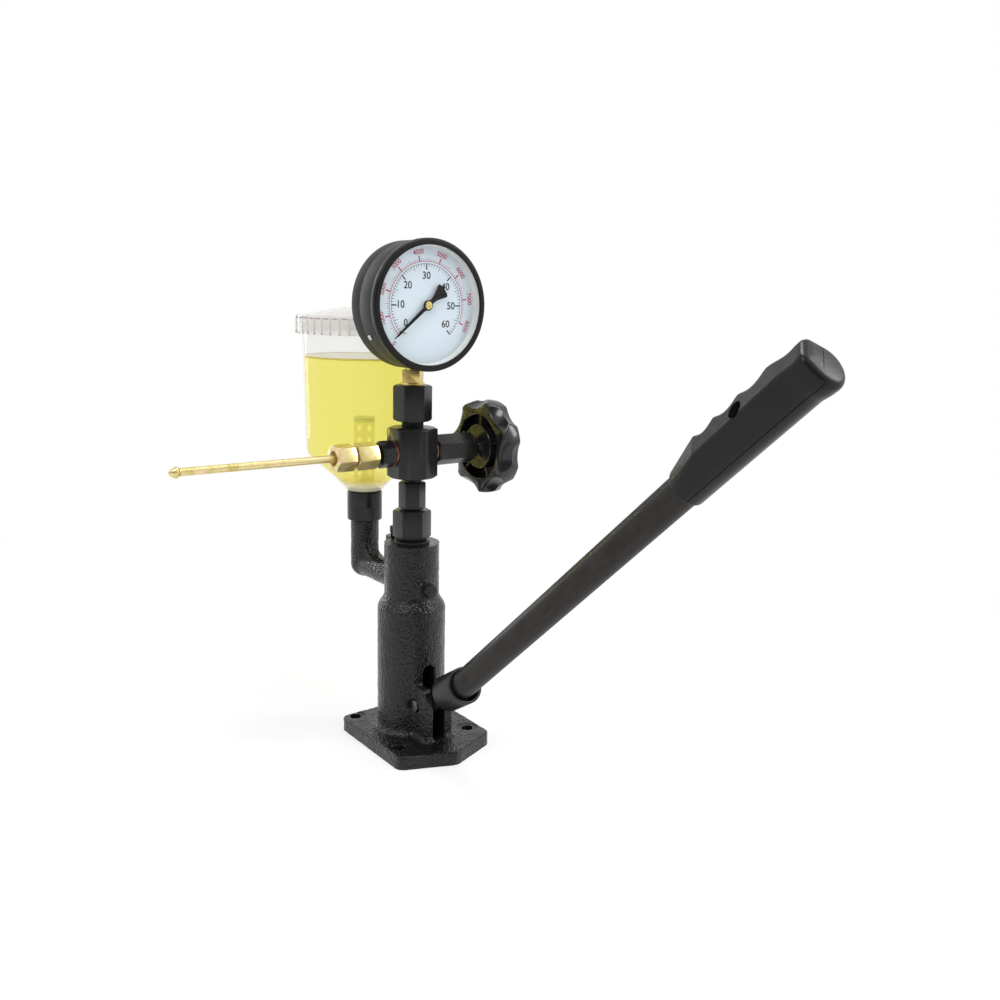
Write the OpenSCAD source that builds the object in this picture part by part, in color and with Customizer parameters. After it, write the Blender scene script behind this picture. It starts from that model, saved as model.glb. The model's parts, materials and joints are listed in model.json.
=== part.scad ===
// Hand-pumped diesel injector tester: a cast pump body on a bolted base, a lever in a clevis,
// a stack of hexagon fittings with a dial gauge on top, a shut-off valve, an outlet pipe with
// two nuts and a clear oil cup on a cast elbow. Sizes are in millimetres.
// The origin is on the column's axis, at the underside of the base. The lever and the dial face -Y.

/* [Base plate] */
// Width of the base plate
base_w = 88; // [86:1:110]
// Column axis to the rear edge
base_rear = 43; // [42:1:60]
// Column axis to the front corners
base_front = 53; // [50:1:62]
// Column axis to the tip of the nose, before it is rounded
base_nose = 70.5; // [66:0.5:90]
// Thickness of the base plate
base_t = 11; // [8:0.5:14]
// Radius of the plate's corners
base_r = 8; // [4:0.5:12]
// Bolt spacing across the plate
bolt_dx = 66; // [64:1:70]
// Bolt spacing from front to rear
bolt_dy = 72; // [66:1:74]
// Diameter of the bolt holes
bolt_d = 9; // [6:0.5:11]
// Diameter of the spot faces round the bolt holes
spot_d = 17; // [14:1:18]
// Depth of the spot faces
spot_depth = 0.5; // [0.3:0.1:1]

/* [Column] */
// Diameter of the column's lower half
column_d = 56; // [52:1:62]
// Diameter of the column's upper half
neck_d = 45; // [42:1:50]
// Height of the column's top face
column_h = 168; // [160:1:190]
// Column's top down to the start of the shoulder
neck_h = 55; // [50:1:68]
// Height of the rounded shoulder
shoulder_h = 13; // [8:1:16]
// Fillet between the castings and the plate
foot_r = 6; // [3:0.5:8]
// Chamfer on the column's top edge
column_edge = 1; // [0.5:0.1:2]

/* [Pump] */
// Diameter of the plunger
plunger_d = 8; // [6:0.5:10]
// Diameter of the plunger barrel
barrel_d = 23; // [21.5:0.1:23.4]
// Length of the plunger barrel
barrel_l = 52; // [48:1:60]
// Thickness of the delivery valve seat
seat_t = 6; // [4:0.5:8]
// Diameter of the bore that guides the tappet
chamber_d = 21; // [19:0.5:21]
// Height of the tappet
tappet_h = 7.5; // [6:0.5:10]
// Thickness of the plunger's foot
foot_t = 2; // [1.5:0.5:3]
// Diameter of the plunger's foot
foot_d = 13; // [12:0.5:15]
// Thickness of the lower spring seat
spring_seat_t = 2; // [1.5:0.5:3]
// Wire of the plunger spring
spring_wire = 2.2; // [1.6:0.1:2.6]
// Turns of the plunger spring
spring_turns = 6; // [4:1:7]
// Distance from the barrel's top to the fill port
fill_drop = 11; // [10:0.5:16]
// Diameter of the oil passages in the casting
passage_d = 7; // [4:0.5:8]
// Diameter of the barrel's fill port
fill_d = 4; // [2:0.5:5]

/* [Barrel lock screw] */
// Distance from the column's top to the lock screw
lock_drop = 35; // [30:1:40]
// Diameter of the lock screw's shank
lock_d = 6; // [5:0.5:7]
// Hexagon of the lock screw, across flats
lock_af = 10; // [9:0.5:12]
// Height of the lock screw's head
lock_head_h = 6; // [4:0.5:8]
// Diameter of the washer and the boss under the head
lock_boss_d = 15; // [13:0.5:16]
// Thickness of the washer
lock_washer_t = 1.5; // [1:0.1:2]
// How far the boss stands out of the column
lock_boss_h = 1; // [0.6:0.1:2]

/* [Bleed screw] */
// Column axis to the bleed screw
bleed_y = 27; // [26:0.5:34]
// Diameter of the bleed screw's boss
bleed_boss_d = 15; // [13:0.5:16]
// Diameter of the bleed screw
bleed_d = 5; // [4:0.5:6]
// Hexagon of the bleed screw, across flats
bleed_af = 8; // [7:0.5:9]
// Height of the bleed screw's head
bleed_head_h = 5.5; // [4:0.5:7]
// Distance from the column's top down to the boss
bleed_drop = 0.5; // [0.3:0.1:6]
// Neck of the bleed screw under its head
bleed_neck = 3; // [2:0.5:9]

/* [Inlet elbow] */
// Column axis to the oil cup's axis
elbow_y = 78; // [76:1:95]
// Diameter of the horizontal arm
arm_d = 22; // [20:0.5:26]
// Diameter of the vertical riser
riser_d = 24.4; // [22:0.2:25]
// Height of the riser above the arm's axis
riser_h = 39.5; // [36:0.5:60]
// Fillet inside the elbow
elbow_r = 9; // [5:0.5:12]
// Width of the web that carries the fillet
elbow_web = 13; // [8:1:16]
// Diameter of the threaded spigot on the riser
spigot_d = 18; // [16:0.5:20]
// Length of the spigot
spigot_l = 11; // [8:0.5:12]

/* [Lever clevis] */
// Column axis to the lever's pivot
pivot_y = 26.5; // [24:0.5:28]
// Height of the lever's pivot
pivot_z = 37.5; // [34:0.5:42]
// Width over both lugs
lug_w = 26; // [24:1:32]
// Pivot to the front face of the lugs
lug_nose = 16.5; // [13:0.5:18]
// Pivot to the top of the lugs
lug_top = 17; // [13:0.5:20]
// Width of the slot between the lugs
slot_w = 10.5; // [9:0.5:12]
// Pivot to the round top of the slot
slot_over = 32; // [26:1:36]
// Diameter of the lever pin
pin_d = 10; // [7:0.5:11]
// How far the pin stands out of the left lug
pin_proud = 1.2; // [0.5:0.1:3]
// Thickness of the pin's clip
clip_t = 1; // [0.8:0.1:1.5]
// Outer diameter of the clip
clip_d = 15; // [13:0.5:17]

/* [Lever] */
// Travel of the lever, in degrees
lever_travel = 28; // [20:1:30]
// Slope of the socket at rest, in degrees
socket_angle = 32; // [28:1:36]
// Diameter of the socket
socket_d = 29.2; // [28.6:0.2:34]
// Pivot to the back of the socket
socket_back = 32; // [31:0.5:36]
// Length of the socket
socket_l = 30; // [28:0.5:40]
// Wall at the bottom of the socket
socket_floor = 4; // [3:0.5:6]
// Length of the socket's snug bore
socket_seat = 12; // [8:0.5:12]
// Wall of the socket's mouth
socket_wall = 2; // [1.5:0.1:2.2]
// Height of the flat arm between the lugs
blade_h = 16; // [14:0.5:19]
// Diameter of the lever tube
tube_d = 21.3; // [18:0.1:21.5]
// Wall of the lever tube
tube_wall = 2.6; // [1.6:0.1:3.2]
// Bend of the tube just inside the socket, in degrees
tube_bend = 9.7; // [6:0.1:10]
// Radius of that bend
bend_r = 80; // [70:1:90]
// Length of the tube beyond the bend
tube_l = 394; // [320:1:450]

/* [Grip] */
// Length of the grip
grip_l = 114; // [112:1:130]
// Thickness of the grip's closed end
grip_end = 8; // [5:0.5:12]
// Wall of the grip round the palm side of the tube
grip_wall = 1.85; // [1.2:0.05:2.5]
// Tube's axis to the flat face
grip_flat = 16; // [15:0.5:19]
// Tube's axis to the near edge of the flat face
grip_near = 7; // [5:0.5:10]
// Tube's axis to the finger side of the flat face
grip_far = 12; // [11:0.5:15]
// Radius of the near edge
grip_edge_r = 2; // [1.5:0.1:3]
// Radius of the finger side's edge
finger_r = 3; // [2:0.1:5]
// Length of the plain start and widths of the finger hollows after it
finger_w = [27, 18.5, 21, 21, 15];
// Depth of the finger hollows
finger_depth = 2.8; // [1.5:0.1:3.5]
// Slope of the finger hollows from the flat face's direction, in degrees
finger_turn = 40; // [20:1:60]
// Length of the flared end
flange_l = 9; // [6:0.5:11]
// How far the end flares out
flange_h = 1.2; // [0.5:0.1:2]
// How far the flat face is turned out of the lever's plane, in degrees
grip_turn = 53; // [0:1:60]
// Distance from the grip's start to its screw
screw_at = 63; // [50:1:75]
// Diameter of the hole over the grip screw
grip_hole_d = 10; // [7:0.1:11.5]
// Diameter of the grip screw's head
grip_screw_d = 6; // [5:0.1:6.4]
// Height of the grip screw's head
grip_screw_h = 1.6; // [1:0.1:2]
// Diameter of the grip screw's shank
grip_shank_d = 4; // [3:0.1:4.4]

/* [Delivery fittings] */
// Thread of the delivery holder
holder_d = 24; // [24:0.1:26]
// Length of the holder's thread in the column
holder_thread = 18; // [15:0.5:24]
// Neck under the holder's hexagon
holder_neck = 4.2; // [3:0.1:6]
// Hexagon of the delivery holder, across flats
holder_af = 27; // [26:0.5:32]
// Height of the holder's hexagon
holder_h = 23; // [20:0.5:30]
// Outer diameter of the sealing ring under the holder
holder_ring_d = 29; // [28:0.5:34]
// Thickness of the sealing ring
holder_ring_t = 2; // [1:0.1:2.5]
// Bore for the delivery valve and its spring
valve_chamber_d = 11; // [10:0.5:12]
// Depth of that bore
valve_chamber_l = 20; // [18:0.5:22]
// Diameter of the delivery valve's stem
dvalve_d = 5.8; // [4:0.1:6.2]
// Diameter of the delivery valve's head
dvalve_head_d = 9; // [8:0.1:9.4]
// Height of the delivery valve's head
dvalve_head_h = 3; // [2:0.5:4]
// Wire of the delivery spring
dspring_wire = 0.9; // [0.6:0.1:1]
// Turns of the delivery spring
dspring_turns = 7; // [5:1:8]
// Thread of the nipple in the holder
nipple_d = 12; // [10:0.5:13]
// Length of the nipple's thread in the holder
nipple_thread = 12; // [8:0.5:14]
// Neck under the nipple's hexagon
nipple_foot = 1; // [0.6:0.1:3]
// Hexagon of the nipple, across flats
nipple_af = 19; // [17:0.5:22]
// Height of the nipple's hexagon
nipple_h = 22; // [18:0.5:26]
// Neck over the nipple's hexagon
nipple_neck = 4; // [2:0.5:6]
// Diameter of the nipple's necks
nipple_neck_d = 14.6; // [14.2:0.1:16]
// Diameter of the high-pressure bores
bore_d = 3; // [2:0.5:4]

/* [Cross block] */
// Hexagon of the cross block, across flats
block_af = 36; // [34:0.5:42]
// Height of the cross block
block_h = 40; // [36:0.5:46]
// Thread of the four ports
port_d = 14; // [13:0.5:14]
// Depth of the four ports
port_depth = 11; // [9:0.5:12]
// Thickness of the copper washers
washer_t = 1.5; // [1:0.1:2]
// Outer diameter of the copper washers
washer_d = 20; // [18:0.5:22]
// Chamfer at the ends of the hexagons
hex_edge = 1.2; // [0.6:0.1:1.8]

/* [Outlet] */
// Hexagon of the outlet union, across flats
union_af = 19; // [17:0.5:22]
// Length of the union's hexagon
union_hex_l = 12; // [9:0.5:16]
// Groove behind the union's hexagon
union_groove_l = 2; // [1.5:0.5:3]
// Length of the union's outer thread
union_thread_l = 13; // [11:0.5:15]
// Hexagon of the two nuts, across flats
nut_af = 19; // [17:0.5:22]
// Length of the pipe nut
pipe_nut_l = 18; // [17:0.5:22]
// Gap between the union's hexagon and the pipe nut
nut_gap = 3.2; // [1:0.1:4]
// Thickness of the nuts' closed ends
nut_floor = 4; // [3:0.5:5]
// Length of the injector nut
injector_nut_l = 16; // [14:0.5:20]
// Gap between the two nuts at rest
rest_gap = 1.7; // [0.5:0.1:6]
// Outer diameter of the pipe
pipe_d = 6; // [5:0.1:7]
// Bore of the pipe
pipe_bore = 2; // [1.5:0.1:3]
// Free length of the pipe beyond the pipe nut
pipe_free = 143; // [110:1:180]
// Diameter of the pipe's cones
cone_d = 8.6; // [8.2:0.1:9]
// Diameter of the cones' tips
cone_tip_d = 4; // [3.6:0.1:4.4]
// Length of the cones
cone_l = 3.6; // [3:0.1:5]
// Length of the collar behind each cone
cone_collar = 1.4; // [1:0.1:2]
// Length of the taper behind each collar
cone_back = 2; // [1:0.1:3]

/* [Valve] */
// Hexagon of the valve bonnet, across flats
bonnet_af = 22; // [20:0.5:24]
// Length of the bonnet's hexagon
bonnet_l = 37; // [32:0.5:44]
// Length of the bonnet's tapered end
bonnet_taper = 3; // [2:0.1:4]
// Diameter of the bonnet's end face
bonnet_end_d = 17; // [16:0.5:19]
// Diameter of the valve stem
stem_d = 8; // [7:0.1:9]
// Bore for the packing and its gland
gland_d = 13; // [12:0.5:14]
// Depth of the gland bore
gland_l = 16; // [12:0.5:20]
// Length of the packing
packing_l = 7; // [5:0.5:8]
// How far the stem's cone reaches past the bonnet's thread
needle_l = 5; // [4:0.5:6]
// Gap between the bonnet's end and the knob
knob_gap = 4.3; // [3.2:0.1:8]
// Diameter over the knob's lobes
knob_d = 79; // [72:1:90]
// Diameter at the knob's valleys
knob_valley_d = 66; // [63:1:70]
// Number of lobes
knob_lobes = 7; // [5:1:8]
// Thickness of the knob
knob_t = 17; // [16:0.5:24]
// Length of the sloped sides on each half of the knob
knob_edge = 6.5; // [4:0.5:7]
// How much smaller the knob's faces are than its middle
knob_draft = 5; // [2:0.5:6]
// Diameter of the knob's hub at the rear
hub_d = 37; // [32:0.5:40]
// Outer diameter of the groove round the hub
groove_d = 54; // [50:0.5:57]
// Depth of the groove
groove_depth = 11; // [8:0.5:13]
// Ribs across the groove
knob_ribs = 5; // [3:1:8]
// Thickness of the ribs
knob_rib_t = 2; // [1.5:0.1:3]
// Diameter of the knob screw's head
knob_screw_d = 12; // [11:0.5:14]
// Height of the knob screw's head
knob_screw_h = 3; // [2:0.5:4]

/* [Gauge] */
// Neck between the block and the gauge coupling
coupling_neck = 5.3; // [3:0.1:8]
// Diameter of that neck
coupling_neck_d = 17.6; // [16.5:0.1:19]
// Hexagon of the gauge coupling, across flats
coupling_af = 27; // [24:0.5:32]
// Height of the gauge coupling's hexagon
coupling_h = 28.5; // [24:0.5:34]
// Thread of the gauge socket
socket_thread_d = 14; // [12:0.5:16]
// Length of the gauge socket's thread
socket_thread_l = 14; // [10:0.5:16]
// Diameter of the gauge socket's flange
flange_d = 19.4; // [18.5:0.1:22]
// Thickness of the flange
flange_t = 1.8; // [1:0.1:3]
// Side of the gauge socket's square
square_w = 14; // [12.5:0.1:15]
// Height of the square
square_h = 10; // [6:0.5:16]
// Diameter of the socket where it enters the case
entry_d = 12; // [10:0.5:13]
// Gap between the square and the case
case_gap = 1.2; // [0.5:0.1:3]
// Diameter of the gauge bezel
bezel_d = 100; // [90:1:120]
// Depth of the bezel's side
bezel_depth = 5.5; // [4.5:0.1:8]
// Thickness of the bezel's front lip
bezel_lip = 1.5; // [1:0.1:2]
// Wall of the bezel
bezel_wall = 1; // [0.8:0.1:2]
// Width of the bezel's lip seen from the front
bezel_rim = 5; // [3.5:0.1:7]
// Stem axis to the bezel's front
gauge_front = 27; // [26:0.5:34]
// Stem axis to the case's back
gauge_rear = 11; // [10:0.5:16]
// Stem axis to the seam between the case and its back
gauge_seam = 3.2; // [2.6:0.1:3.6]
// Wall of the gauge case
case_wall = 1.5; // [1.2:0.1:2]
// Length of the spigot of the case back inside the case
back_spigot = 9; // [7:0.5:10]
// Thickness of the glass
glass_t = 2; // [1.5:0.1:2.5]
// Bezel front to the dial
dial_depth = 8; // [7.4:0.1:8.2]
// Thickness of the dial
dial_t = 0.8; // [0.6:0.1:1]
// Length of the pointer
pointer_l = 41; // [36:0.5:42]
// Length of the pointer's tail
tail_l = 18; // [14:0.5:20]
// Width of the pointer's tail
tail_w = 12; // [8:0.5:14]
// Thickness of the pointer
pointer_t = 0.8; // [0.6:0.1:1]
// Angle of the pointer at rest, anticlockwise from +X, in degrees
zero_angle = 222; // [215:1:235]
// Diameter of the case screws' heads
case_screw_d = 4.6; // [4:0.1:5.4]

/* [Gauge movement] */
// Tooth module of the movement
gear_m = 0.4; // [0.36:0.01:0.44]
// Teeth of the pinion
pinion_teeth = 12; // [10:1:14]
// Teeth of the sector's full circle for each pinion tooth
gear_ratio = 10; // [9:1:10]
// Swing of the sector, in degrees
sector_swing = 27; // [24:1:28]
// Diameter of the arbors
arbor_d = 2; // [1.6:0.1:2.4]
// Width of the movement's plates
plate_w = 22; // [20:0.5:26]
// Thickness of the movement's plates
plate_t = 1.5; // [1.2:0.1:1.6]
// Radius of the Bourdon tube's curve
bourdon_r = 33; // [31:0.5:36]
// Thickness of the Bourdon tube
bourdon_t = 5; // [4:0.5:6]
// Width of the Bourdon tube
bourdon_w = 9; // [7:0.5:10]
// Wall of the Bourdon tube
bourdon_wall = 1; // [0.6:0.1:1.4]
// Sweep of the Bourdon tube, in degrees
bourdon_sweep = 255; // [245:1:258]

/* [Oil cup] */
// Height of the cup's adapter
adapter_h = 25; // [22:0.5:30]
// Diameter of the adapter
adapter_d = 30; // [28:0.5:34]
// Width across the adapter's wrench flats
adapter_af = 26; // [25:0.5:27]
// Height of the wrench flats
adapter_flat_h = 12; // [8:0.5:14]
// Thickness of the cup's seal
seal_t = 1.5; // [1:0.1:3]
// Thread of the cup's neck
cup_neck_d = 20; // [18:0.5:22]
// Length of the cup's neck
cup_neck_l = 12; // [9:0.5:12.5]
// Bore of the cup's neck
cup_neck_bore = 12; // [9:0.5:14]
// Diameter of the cup's flat foot
cup_foot_d = 31; // [28:0.5:36]
// Height of the cup's cone
cup_cone_h = 32; // [26:1:40]
// Diameter of the cup above the cone
cup_d = 99.4; // [90:0.2:106]
// Growth of the cup's diameter up to its rim
cup_draft = 3.6; // [0:0.2:6]
// Height of the cup's wall over the cone
cup_wall_h = 110; // [80:1:130]
// Thickness of the cup's wall
cup_wall = 2; // [1.5:0.1:3]
// How far the bead at the rim stands out
cup_bead = 3; // [2:0.1:4]
// Height of the bead
cup_bead_h = 3; // [2:0.1:5]
// Wall of the lid
lid_wall = 2.2; // [1.5:0.1:3]
// Depth of the lid's skirt below the rim
lid_skirt = 8.5; // [7:0.5:12]
// Height of the lid's flat rim above the cup's rim
lid_rim_h = 5; // [3:0.5:8]
// Height of the lid's dome over its rim
lid_dome = 8; // [4:0.5:12]
// Ribs round the lid
lid_ribs = 44; // [30:1:60]
// Width of the lid's ribs
lid_rib_w = 2.4; // [1.5:0.1:3]
// How far the lid's ribs stand out
lid_rib_h = 0.8; // [0.4:0.1:1.2]
// Diameter of the inlet filter
filter_d = 18; // [15:0.5:22]
// Height of the inlet filter
filter_h = 60; // [40:1:80]
// Wall of the inlet filter
filter_wall = 1; // [0.8:0.1:1.5]
// Diameter of the filter's holes
filter_hole_d = 5; // [3:0.5:6]
// Rows of holes in the filter
filter_rows = 5; // [3:1:6]
// Holes in each row
filter_count = 6; // [4:1:8]

/* [Fits] */
// Radial clearance of threads and pressed fits
fit = 0.1; // [0.05:0.01:0.15]
// Radial clearance of turning and sliding fits
run = 0.06; // [0.03:0.01:0.1]
// Clearance beside moving flats
side = 0.3; // [0.2:0.05:0.4]

/* [Hidden] */
$fn = 64;

iron = [0.09, 0.09, 0.09];
oxide = [0.16, 0.16, 0.17];
zinc = [0.75, 0.62, 0.3];
copper = [0.72, 0.4, 0.25];
brass = [0.78, 0.65, 0.34];
steel = [0.7, 0.7, 0.72];
vinyl = [0.07, 0.07, 0.07];

// Overlap that keeps cuts clear of the faces they open
cut = 1;
// How far a fillet or a boss is sunk into what it grows from
sink = 0.2;
// Steps in a rounded corner
arc_steps = 6;

// Heights up the column
column_r = column_d / 2;
neck_r = neck_d / 2;
z_seat = column_h - holder_thread;
z_barrel_top = z_seat - seat_t;
z_barrel = z_barrel_top - barrel_l;
z_fill = z_barrel_top - fill_drop;
z_lock = column_h - lock_drop;
shoulder_z = column_h - neck_h;
slot_floor = base_t + cut;

// Cam and plunger
cam_rise = 2.6;
z_tappet = pivot_z + cam_rise;
z_foot = z_tappet + tappet_h;
z_spring = z_foot + foot_t + spring_seat_t;
plunger_top = z_fill - fill_d / 2 - cut;
nose_drop = 7;
nose_top = 1.2;

// Lever
lug_reach = pivot_y + lug_nose;
lug_z = pivot_z + lug_top;
tube_r = tube_d / 2;
socket_r = socket_d / 2;
bend_start = socket_back + socket_floor + socket_seat;
tube_foot = socket_back + socket_floor;
grip_from = tube_l + grip_end - grip_l;
finger_end = [for (i = [0 : len(finger_w) - 1]) total(finger_w, i)];
ridge = (grip_far - finger_r) * cos(finger_turn) + (grip_flat - finger_r) * sin(finger_turn) + finger_r;

// Heights up the stack
z_holder = column_h + holder_neck;
z_holder_top = z_holder + holder_h;
z_nipple = z_holder_top + nipple_foot;
z_nipple_top = z_nipple + nipple_h;
z_block = z_nipple_top + nipple_neck;
z_block_top = z_block + block_h;
z_port = z_block + block_h / 2;
z_coupling = z_block_top + coupling_neck;
z_coupling_top = z_coupling + coupling_h;
z_square = z_coupling_top + flange_t;
z_square_top = z_square + square_h;
block_face = block_af / 2;
side_depth = port_depth - cut;

// Outlet, measured out along -X from the column's axis
x_union = block_face + washer_t;
x_groove = x_union + union_hex_l;
x_union_end = x_groove + union_groove_l + union_thread_l;
x_pipe_nut = x_groove + nut_gap;
x_pipe_nut_end = x_pipe_nut + pipe_nut_l;
x_injector_nut = x_pipe_nut_end + rest_gap;
x_pipe_end = x_pipe_nut_end + pipe_free;
cone_whole = cone_l + cone_collar + cone_back;
x_pipe_start = x_pipe_nut_end - nut_floor - cone_whole;
pipe_r = pipe_d / 2;

// Valve, measured out along +X
x_bonnet = block_face + washer_t;
x_taper = x_bonnet + bonnet_l;
x_bonnet_end = x_taper + bonnet_taper;
x_knob = x_bonnet_end + knob_gap;
x_knob_end = x_knob + knob_t;
x_gland = x_bonnet_end - gland_l;
x_seat = block_face - side_depth;

// Gauge
bezel_r = bezel_d / 2;
case_r = bezel_r - bezel_wall;
z_gauge = z_square_top + case_gap + case_r;
case_in = case_r - case_wall;
y_glass = -gauge_front + bezel_lip;
y_case = y_glass + glass_t;
y_dial = -gauge_front + dial_depth;
y_dial_back = y_dial + dial_t;
dial_r = case_in - side;
y_plate = y_dial_back + 4;
y_mesh = y_plate + plate_t + 1;
mesh_t = 2.2;
y_back_plate = -4.5 - plate_t;
y_block = y_back_plate + plate_t;
block_top = z_gauge - bourdon_r + 1;
block_z = z_gauge - case_in + case_wall + 2 * cut;
pinion_r = gear_m * pinion_teeth / 2;
sector_r = pinion_r * gear_ratio;
sector_teeth = pinion_teeth * gear_ratio;
z_sector = z_gauge - pinion_r - sector_r;
tail_angle = 199;
tail_reach = 12;
link_r = 2;
link_t = 1;
y_link = y_mesh + mesh_t + 1.3;
bourdon_y = 2.2;
bourdon_from = 270 + asin(9 / bourdon_r);
bourdon_end = bourdon_from + bourdon_sweep;
y_pointer = y_dial - 2.2;
case_screw_y = -gauge_seam - back_spigot / 2;

// Oil cup
z_riser = z_fill + riser_h;
z_adapter = z_riser + adapter_h;
z_cup = z_adapter + seal_t;
z_cone = z_cup + cup_cone_h;
z_rim = z_cone + cup_wall_h;
cup_r = cup_d / 2;
rim_r = cup_r + cup_draft / 2;
cup_floor = 3;
lid_in = rim_r + cup_bead + side;
lid_r = lid_in + lid_wall;

// Sum of a list up to and including one index
function total(list, i) = i < 0 ? 0 : list[i] + total(list, i - 1);

function unit(v) = v / norm(v);

// Points of a corner b between a and c, rounded with radius r
function corner(a, b, c, r) = r == 0 ? [b] :
    let (u = unit(a - b), v = unit(c - b), half = acos(u * v) / 2,
        o = b + unit(u + v) * r / sin(half),
        s = b + u * r / tan(half) - o,
        turn = (cross(u, v) > 0 ? -1 : 1) * (180 - 2 * half))
    [for (i = [0 : arc_steps]) let (t = turn * i / arc_steps)
        o + [s.x * cos(t) - s.y * sin(t), s.x * sin(t) + s.y * cos(t)]];

// Outline through corners [x, y, radius], each rounded by its radius
function rounded(p) = let (n = len(p), q = [for (c = p) [c.x, c.y]])
    [for (i = [0 : n - 1]) each corner(q[(i + n - 1) % n], q[i], q[(i + 1) % n], p[i][2])];

// A drawing in the Y-Z plane, extruded evenly about X = 0
module extrude_x(w) rotate([90, 0, 90]) linear_extrude(w, center = true) children();

// A drawing in the X-Z plane, extruded from y0 towards -Y
module extrude_front(y0, h) translate([0, y0, 0]) rotate([90, 0, 0]) linear_extrude(h) children();

// Frames whose Z runs along the outlet, the valve, the gauge's axis, the lever's socket and its tube
module along_outlet() translate([0, 0, z_port]) rotate([0, -90, 0]) children();
module along_valve() translate([0, 0, z_port]) rotate([0, 90, 0]) children();
module along_gauge() translate([0, 0, z_gauge]) rotate([90, 0, 0]) children();
module along_socket() translate([0, -pivot_y, pivot_z]) rotate([90 - socket_angle, 0, 0]) children();
module along_tube() along_socket()
    translate([0, bend_r * (1 - cos(tube_bend)), bend_start + bend_r * sin(tube_bend)])
    rotate([-tube_bend, 0, 0]) children();

module rod(d, z0, z1) translate([0, 0, z0]) cylinder(d = d, h = z1 - z0);

module ring(d_out, d_in, z0, z1) difference() {
    rod(d_out, z0, z1);
    rod(d_in, z0 - cut, z1 + cut);
}

// A hexagon bar with turned chamfers at both ends
module hex(af, z0, z1) intersection() {
    translate([0, 0, z0]) cylinder(d = af / cos(30), h = z1 - z0, $fn = 6);
    rotate_extrude() polygon([[0, z0], [af / 2 - sink, z0], [af / 2 - sink + 2 * hex_edge, z0 + hex_edge],
        [af / 2 - sink + 2 * hex_edge, z1 - hex_edge], [af / 2 - sink, z1], [0, z1]]);
}

// A coil spring of one round wire between two heights, as one unbroken tube
module coil(name, d, wire, turns, z0, z1) {
    rings = 8;
    sides = 6;
    n = turns * rings;
    w = wire / 2;
    rise = (z1 - z0 - wire - 2 * sink) / n;
    function skin(i, r, z) = let (a = 360 * i / rings)
        [r * cos(a), r * sin(a), z0 + sink + w + rise * i + z];
    function centre(i) = skin(i, d / 2, 0);
    function at(i, k) = i * sides + k % sides;
    polyhedron([for (i = [0 : n]) for (k = [0 : sides - 1]) let (b = 360 * k / sides)
        skin(i, d / 2 + w * cos(b), w * sin(b))], concat(
        [for (i = [0 : n - 1]) for (k = [0 : sides - 1]) each
            [[at(i, k), at(i + 1, k + 1), at(i + 1, k)], [at(i, k), at(i, k + 1), at(i + 1, k + 1)]]],
        [for (k = [1 : sides - 2]) [at(0, 0), at(0, k + 1), at(0, k)]],
        [for (k = [1 : sides - 2]) [at(n, 0), at(n, k), at(n, k + 1)]]));
    echo(str(name, " least gap ", min([for (i = [0 : n]) for (j = [i + rings / 2 : 1 : n])
        norm(centre(i) - centre(j))]) - wire));
}

// Pump body

// Outline of the plate, a square with a pointed front
module plate_outline() polygon(rounded([[-base_w / 2, base_rear, base_r], [-base_w / 2, -base_front, base_r],
    [0, -base_nose, base_r], [base_w / 2, -base_front, base_r], [base_w / 2, base_rear, base_r]]));

// Half section of the column, with its foot and its rounded shoulder
module column_section() polygon(concat(
    [[0, base_t / 2], [column_r + foot_r, base_t / 2]],
    [for (i = [0 : arc_steps]) let (a = 270 - 90 * i / arc_steps)
        [column_r + foot_r + foot_r * cos(a), base_t - sink + foot_r + foot_r * sin(a)]],
    [for (i = [0 : 2 * arc_steps]) let (t = i / (2 * arc_steps))
        [neck_r + (column_r - neck_r) * (1 + cos(180 * t)) / 2, shoulder_z + shoulder_h * t]],
    [[neck_r, column_h - column_edge], [neck_r - column_edge, column_h], [0, column_h]]));

// The fillet at the foot of an upright wall
module foot_fillet() translate([-sink, -sink]) difference() {
    translate([0, -cut]) square([foot_r, foot_r + cut]);
    translate([foot_r, foot_r]) circle(foot_r);
}

module lugs() {
    extrude_x(lug_w) polygon(rounded([[0, base_t / 2, 0], [-lug_reach, base_t / 2, 0],
        [-lug_reach, lug_z, foot_r], [0, lug_z, 0]]));
    extrude_x(lug_w - 2 * cut) translate([-lug_reach, base_t]) mirror([1, 0]) foot_fillet();
    for (m = [0, 1]) mirror([m, 0, 0]) {
        extrude_front(0, lug_reach - cut) translate([lug_w / 2, base_t]) foot_fillet();
        translate([lug_w / 2 - cut, cut - lug_reach, base_t]) rotate([0, 0, 270])
            rotate_extrude(angle = 90) translate([cut, 0]) foot_fillet();
    }
}

// The arm from the column, the elbow and the riser that carries the oil cup
module inlet_arm() {
    web_y = elbow_y - riser_d / 2 - elbow_r + sink;
    translate([0, 0, z_fill]) rotate([-90, 0, 0]) cylinder(d = arm_d, h = elbow_y);
    translate([0, elbow_y, z_fill]) sphere(d = riser_d + 2 * sink);
    translate([0, elbow_y, 0]) {
        rod(riser_d, z_fill, z_riser);
        rod(spigot_d - 2 * fit, z_riser - cut, z_riser + spigot_l);
    }
    extrude_x(elbow_web) difference() {
        translate([web_y, z_fill]) square([elbow_r + riser_d / 4, arm_d / 2 + elbow_r]);
        translate([web_y, z_fill + arm_d / 2 - sink + elbow_r]) circle(elbow_r);
    }
}

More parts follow.
